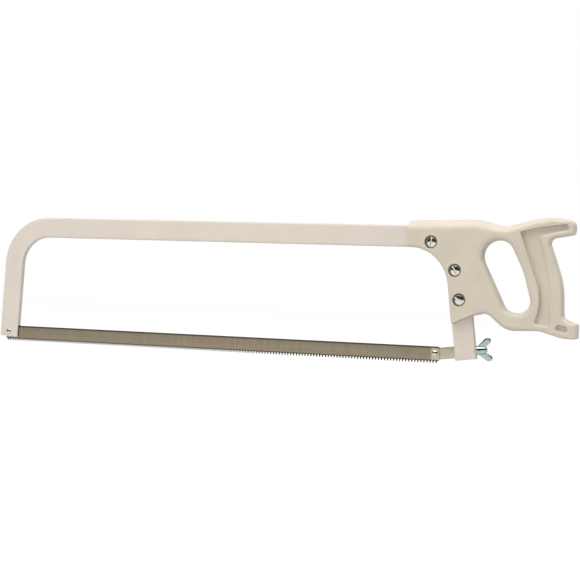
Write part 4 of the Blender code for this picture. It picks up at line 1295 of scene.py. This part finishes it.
class SAW_OT_studio(bpy.types.Operator):
    """Build the floor, the light and the camera"""
    bl_idname = "saw.studio"
    bl_label = "Studio"

    floor_reach = 4.0
    floor_drop = 0.6 * MM
    floor_paint = 0.8
    floor_shade = 0.12
    floor_glow = 0.94
    screen_reach = 3.0
    screen_cloth = 0.03
    screen_bearings = (-120, 120)
    screen_columns = 49
    screen_rows = 9
    screen_side_foot = -6
    screen_front_rise = 18
    screen_front = -14
    screen_front_width = 36
    screen_head = 46
    camera_range = 20

    def execute(self, context):
        scene = context.scene
        studio = scene.saw_studio
        scene.view_settings.view_transform = "Standard"
        self.floor()
        self.screen()
        self.world(scene, studio.sky)
        for name, place, target, size, mirrored in LAMPS:
            self.lamp(name, place, target, size, mirrored, getattr(studio, name + "_light"))
        camera = bpy.data.objects.new("camera", bpy.data.cameras.new("camera"))
        scene.collection.objects.link(camera)
        toward = Vector((math.sin(studio.azimuth), -math.cos(studio.azimuth), 0))
        place = Matrix.Translation(Vector(studio.target) + toward * studio.distance)
        look = (-toward).to_track_quat("-Z", "Y").to_matrix().to_4x4()
        camera.matrix_world = place @ look @ Matrix.Rotation(studio.roll, 4, "Z")
        camera.data.lens = studio.lens
        camera.data.clip_end = self.camera_range
        scene.camera = camera
        return {"FINISHED"}

    def lamp(self, name, place, target, size, mirrored, power):
        """Add a soft rectangular lamp."""
        data = bpy.data.lights.new(name + "_lamp", "AREA")
        data.shape = "RECTANGLE"
        data.size, data.size_y = size
        data.energy = power
        lamp = bpy.data.objects.new(name + "_lamp", data)
        lamp.visible_camera = False
        lamp.visible_glossy = mirrored
        lamp.location = place
        lamp.rotation_euler = (Vector(target) - Vector(place)).to_track_quat("-Z", "Y").to_euler()
        bpy.context.scene.collection.objects.link(lamp)

    def backdrop(self, name, skin, finish):
        """Add a part of the stage with a bare material, and return it and the material's node tree."""
        mesh = bpy.data.meshes.new(name)
        mesh.from_pydata(np.vstack(skin.points).tolist(), [], skin.faces)
        material = bpy.data.materials.new(finish)
        mesh.materials.append(material)
        part = bpy.data.objects.new(name, mesh)
        bpy.context.scene.collection.objects.link(part)
        part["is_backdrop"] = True
        return part, self.bare_tree(material)

    def bare_tree(self, owner):
        """Return the node tree of a material or a world, emptied."""
        owner.use_nodes = True
        owner.node_tree.nodes.clear()
        return owner.node_tree

    def grey(self, level):
        """Return a linear grey."""
        return tone((level, level, level))

    def floor(self):
        """Add the floor: a square, white to the camera and in reflections, that still takes a shadow."""
        sides = (-self.floor_reach, self.floor_reach)
        corners = np.stack(np.meshgrid(sides, sides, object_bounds()[0].z - self.floor_drop), axis=-1)
        skin = Skin()
        skin.grid(corners[:, :, 0])
        tree = self.backdrop("floor", skin, "white_floor")[1]
        seen = self.seen(tree)
        paint = add_node(tree, "ShaderNodeBsdfDiffuse", {"Color": self.grey(self.floor_paint)})
        shade = add_node(tree, "ShaderNodeBsdfDiffuse", {"Color": self.grey(self.floor_shade)})
        glow = add_node(tree, "ShaderNodeEmission", {"Color": self.grey(1.0), "Strength": self.floor_glow})
        white = add_node(tree, "ShaderNodeAddShader", links={0: (shade, 0), 1: (glow, 0)})
        mix = add_node(tree, "ShaderNodeMixShader", links={0: (seen, 0), 1: (paint, 0), 2: (white, 0)})
        add_node(tree, "ShaderNodeOutputMaterial", links={"Surface": (mix, 0)})

    def screen(self):
        """Add a dark screen on the camera's side, seen only in reflections, for metal's dark edges.

        It is part of a ball. At bearing b its foot stands at side foot + rise * exp(-((b - front) / width)^2)
        degrees, so it leaves the lower front open below it, and the lamp overhead open above its head.
        """
        bearing = np.linspace(*self.screen_bearings, self.screen_columns)
        near_front = np.exp(-((bearing - self.screen_front) / self.screen_front_width) ** 2)
        foot = np.radians(self.screen_side_foot + self.screen_front_rise * near_front)
        head = math.radians(self.screen_head)
        height = foot + (head - foot) * np.linspace(0, 1, self.screen_rows)[:, None]
        bearing = np.radians(bearing)
        skin = Skin()
        skin.grid(self.screen_reach * np.stack(np.broadcast_arrays(
            np.sin(bearing) * np.cos(height), -np.cos(bearing) * np.cos(height), np.sin(height)), axis=-1))
        screen, tree = self.backdrop("dark_screen", skin, "dark_cloth")
        cloth = add_node(tree, "ShaderNodeEmission", {"Color": self.grey(self.screen_cloth)})
        add_node(tree, "ShaderNodeOutputMaterial", links={"Surface": (cloth, 0)})
        screen.visible_camera = False
        screen.visible_diffuse = False
        screen.visible_shadow = False
        screen.visible_transmission = False

    def seen(self, tree):
        """Return a node that is 1 for rays that show the background: camera, glossy and transmission."""
        path = add_node(tree, "ShaderNodeLightPath")
        first = add_node(
            tree, "ShaderNodeMath", links={0: (path, "Is Camera Ray"), 1: (path, "Is Glossy Ray")},
            operation="MAXIMUM")
        return add_node(
            tree, "ShaderNodeMath", links={0: (first, 0), 1: (path, "Is Transmission Ray")},
            operation="MAXIMUM")

    def world(self, scene, sky):
        """Set the world: an even pale light on the saw, and white where it is seen."""
        scene.world = bpy.data.worlds.new("studio")
        tree = self.bare_tree(scene.world)
        seen = self.seen(tree)
        even = add_node(tree, "ShaderNodeBackground", {"Color": self.grey(1.0), "Strength": sky})
        white = add_node(tree, "ShaderNodeBackground", {"Color": self.grey(1.0), "Strength": 1.0})
        mix = add_node(tree, "ShaderNodeMixShader", links={0: (seen, 0), 1: (even, 0), 2: (white, 0)})
        add_node(tree, "ShaderNodeOutputWorld", links={"Surface": (mix, 0)})


class SAW_PT_panel(bpy.types.Panel):
    """Lists the saw's pieces and its sizes"""
    bl_label = "Butcher saw"
    bl_idname = "SAW_PT_panel"
    bl_space_type = "VIEW_3D"
    bl_region_type = "UI"
    bl_category = "Saw"

    def draw(self, context):
        for operator in OPERATORS:
            self.layout.operator(operator.bl_idname)
        for group in SETTINGS:
            box = self.layout.box()
            settings = getattr(context.scene, group)
            for name in settings.bl_rna.properties.keys():
                if name not in ("rna_type", "name"):
                    box.prop(settings, name)


SETTINGS = {
    "saw_bow": BowSizes, "saw_grip": GripSizes, "saw_blade": BladeSizes, "saw_fasteners": FastenerSizes,
    "saw_tension": TensionSizes, "saw_finishes": Finishes, "saw_studio": Studio,
}
OPERATORS = (
    SAW_OT_bow, SAW_OT_grip, SAW_OT_screws, SAW_OT_blade, SAW_OT_pins, SAW_OT_draw_bolt, SAW_OT_wing_nut,
    SAW_OT_studio,
)


def register():
    """Register the settings, the operators and the panel."""
    for name, group in SETTINGS.items():
        bpy.utils.register_class(group)
        setattr(bpy.types.Scene, name, PointerProperty(type=group))
    for operator in OPERATORS:
        bpy.utils.register_class(operator)
    bpy.utils.register_class(SAW_PT_panel)


def unregister():
    """Take away what register added."""
    bpy.utils.unregister_class(SAW_PT_panel)
    for operator in reversed(OPERATORS):
        bpy.utils.unregister_class(operator)
    for name, group in reversed(SETTINGS.items()):
        delattr(bpy.types.Scene, name)
        bpy.utils.unregister_class(group)


def main():
    """Register everything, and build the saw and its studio."""
    register()
    bpy.ops.saw.bow()
    bpy.ops.saw.grip()
    bpy.ops.saw.screws()
    bpy.ops.saw.blade()
    bpy.ops.saw.pins()
    bpy.ops.saw.draw_bolt()
    bpy.ops.saw.wing_nut()
    bpy.ops.saw.studio()


if __name__ == "__main__":
    main()
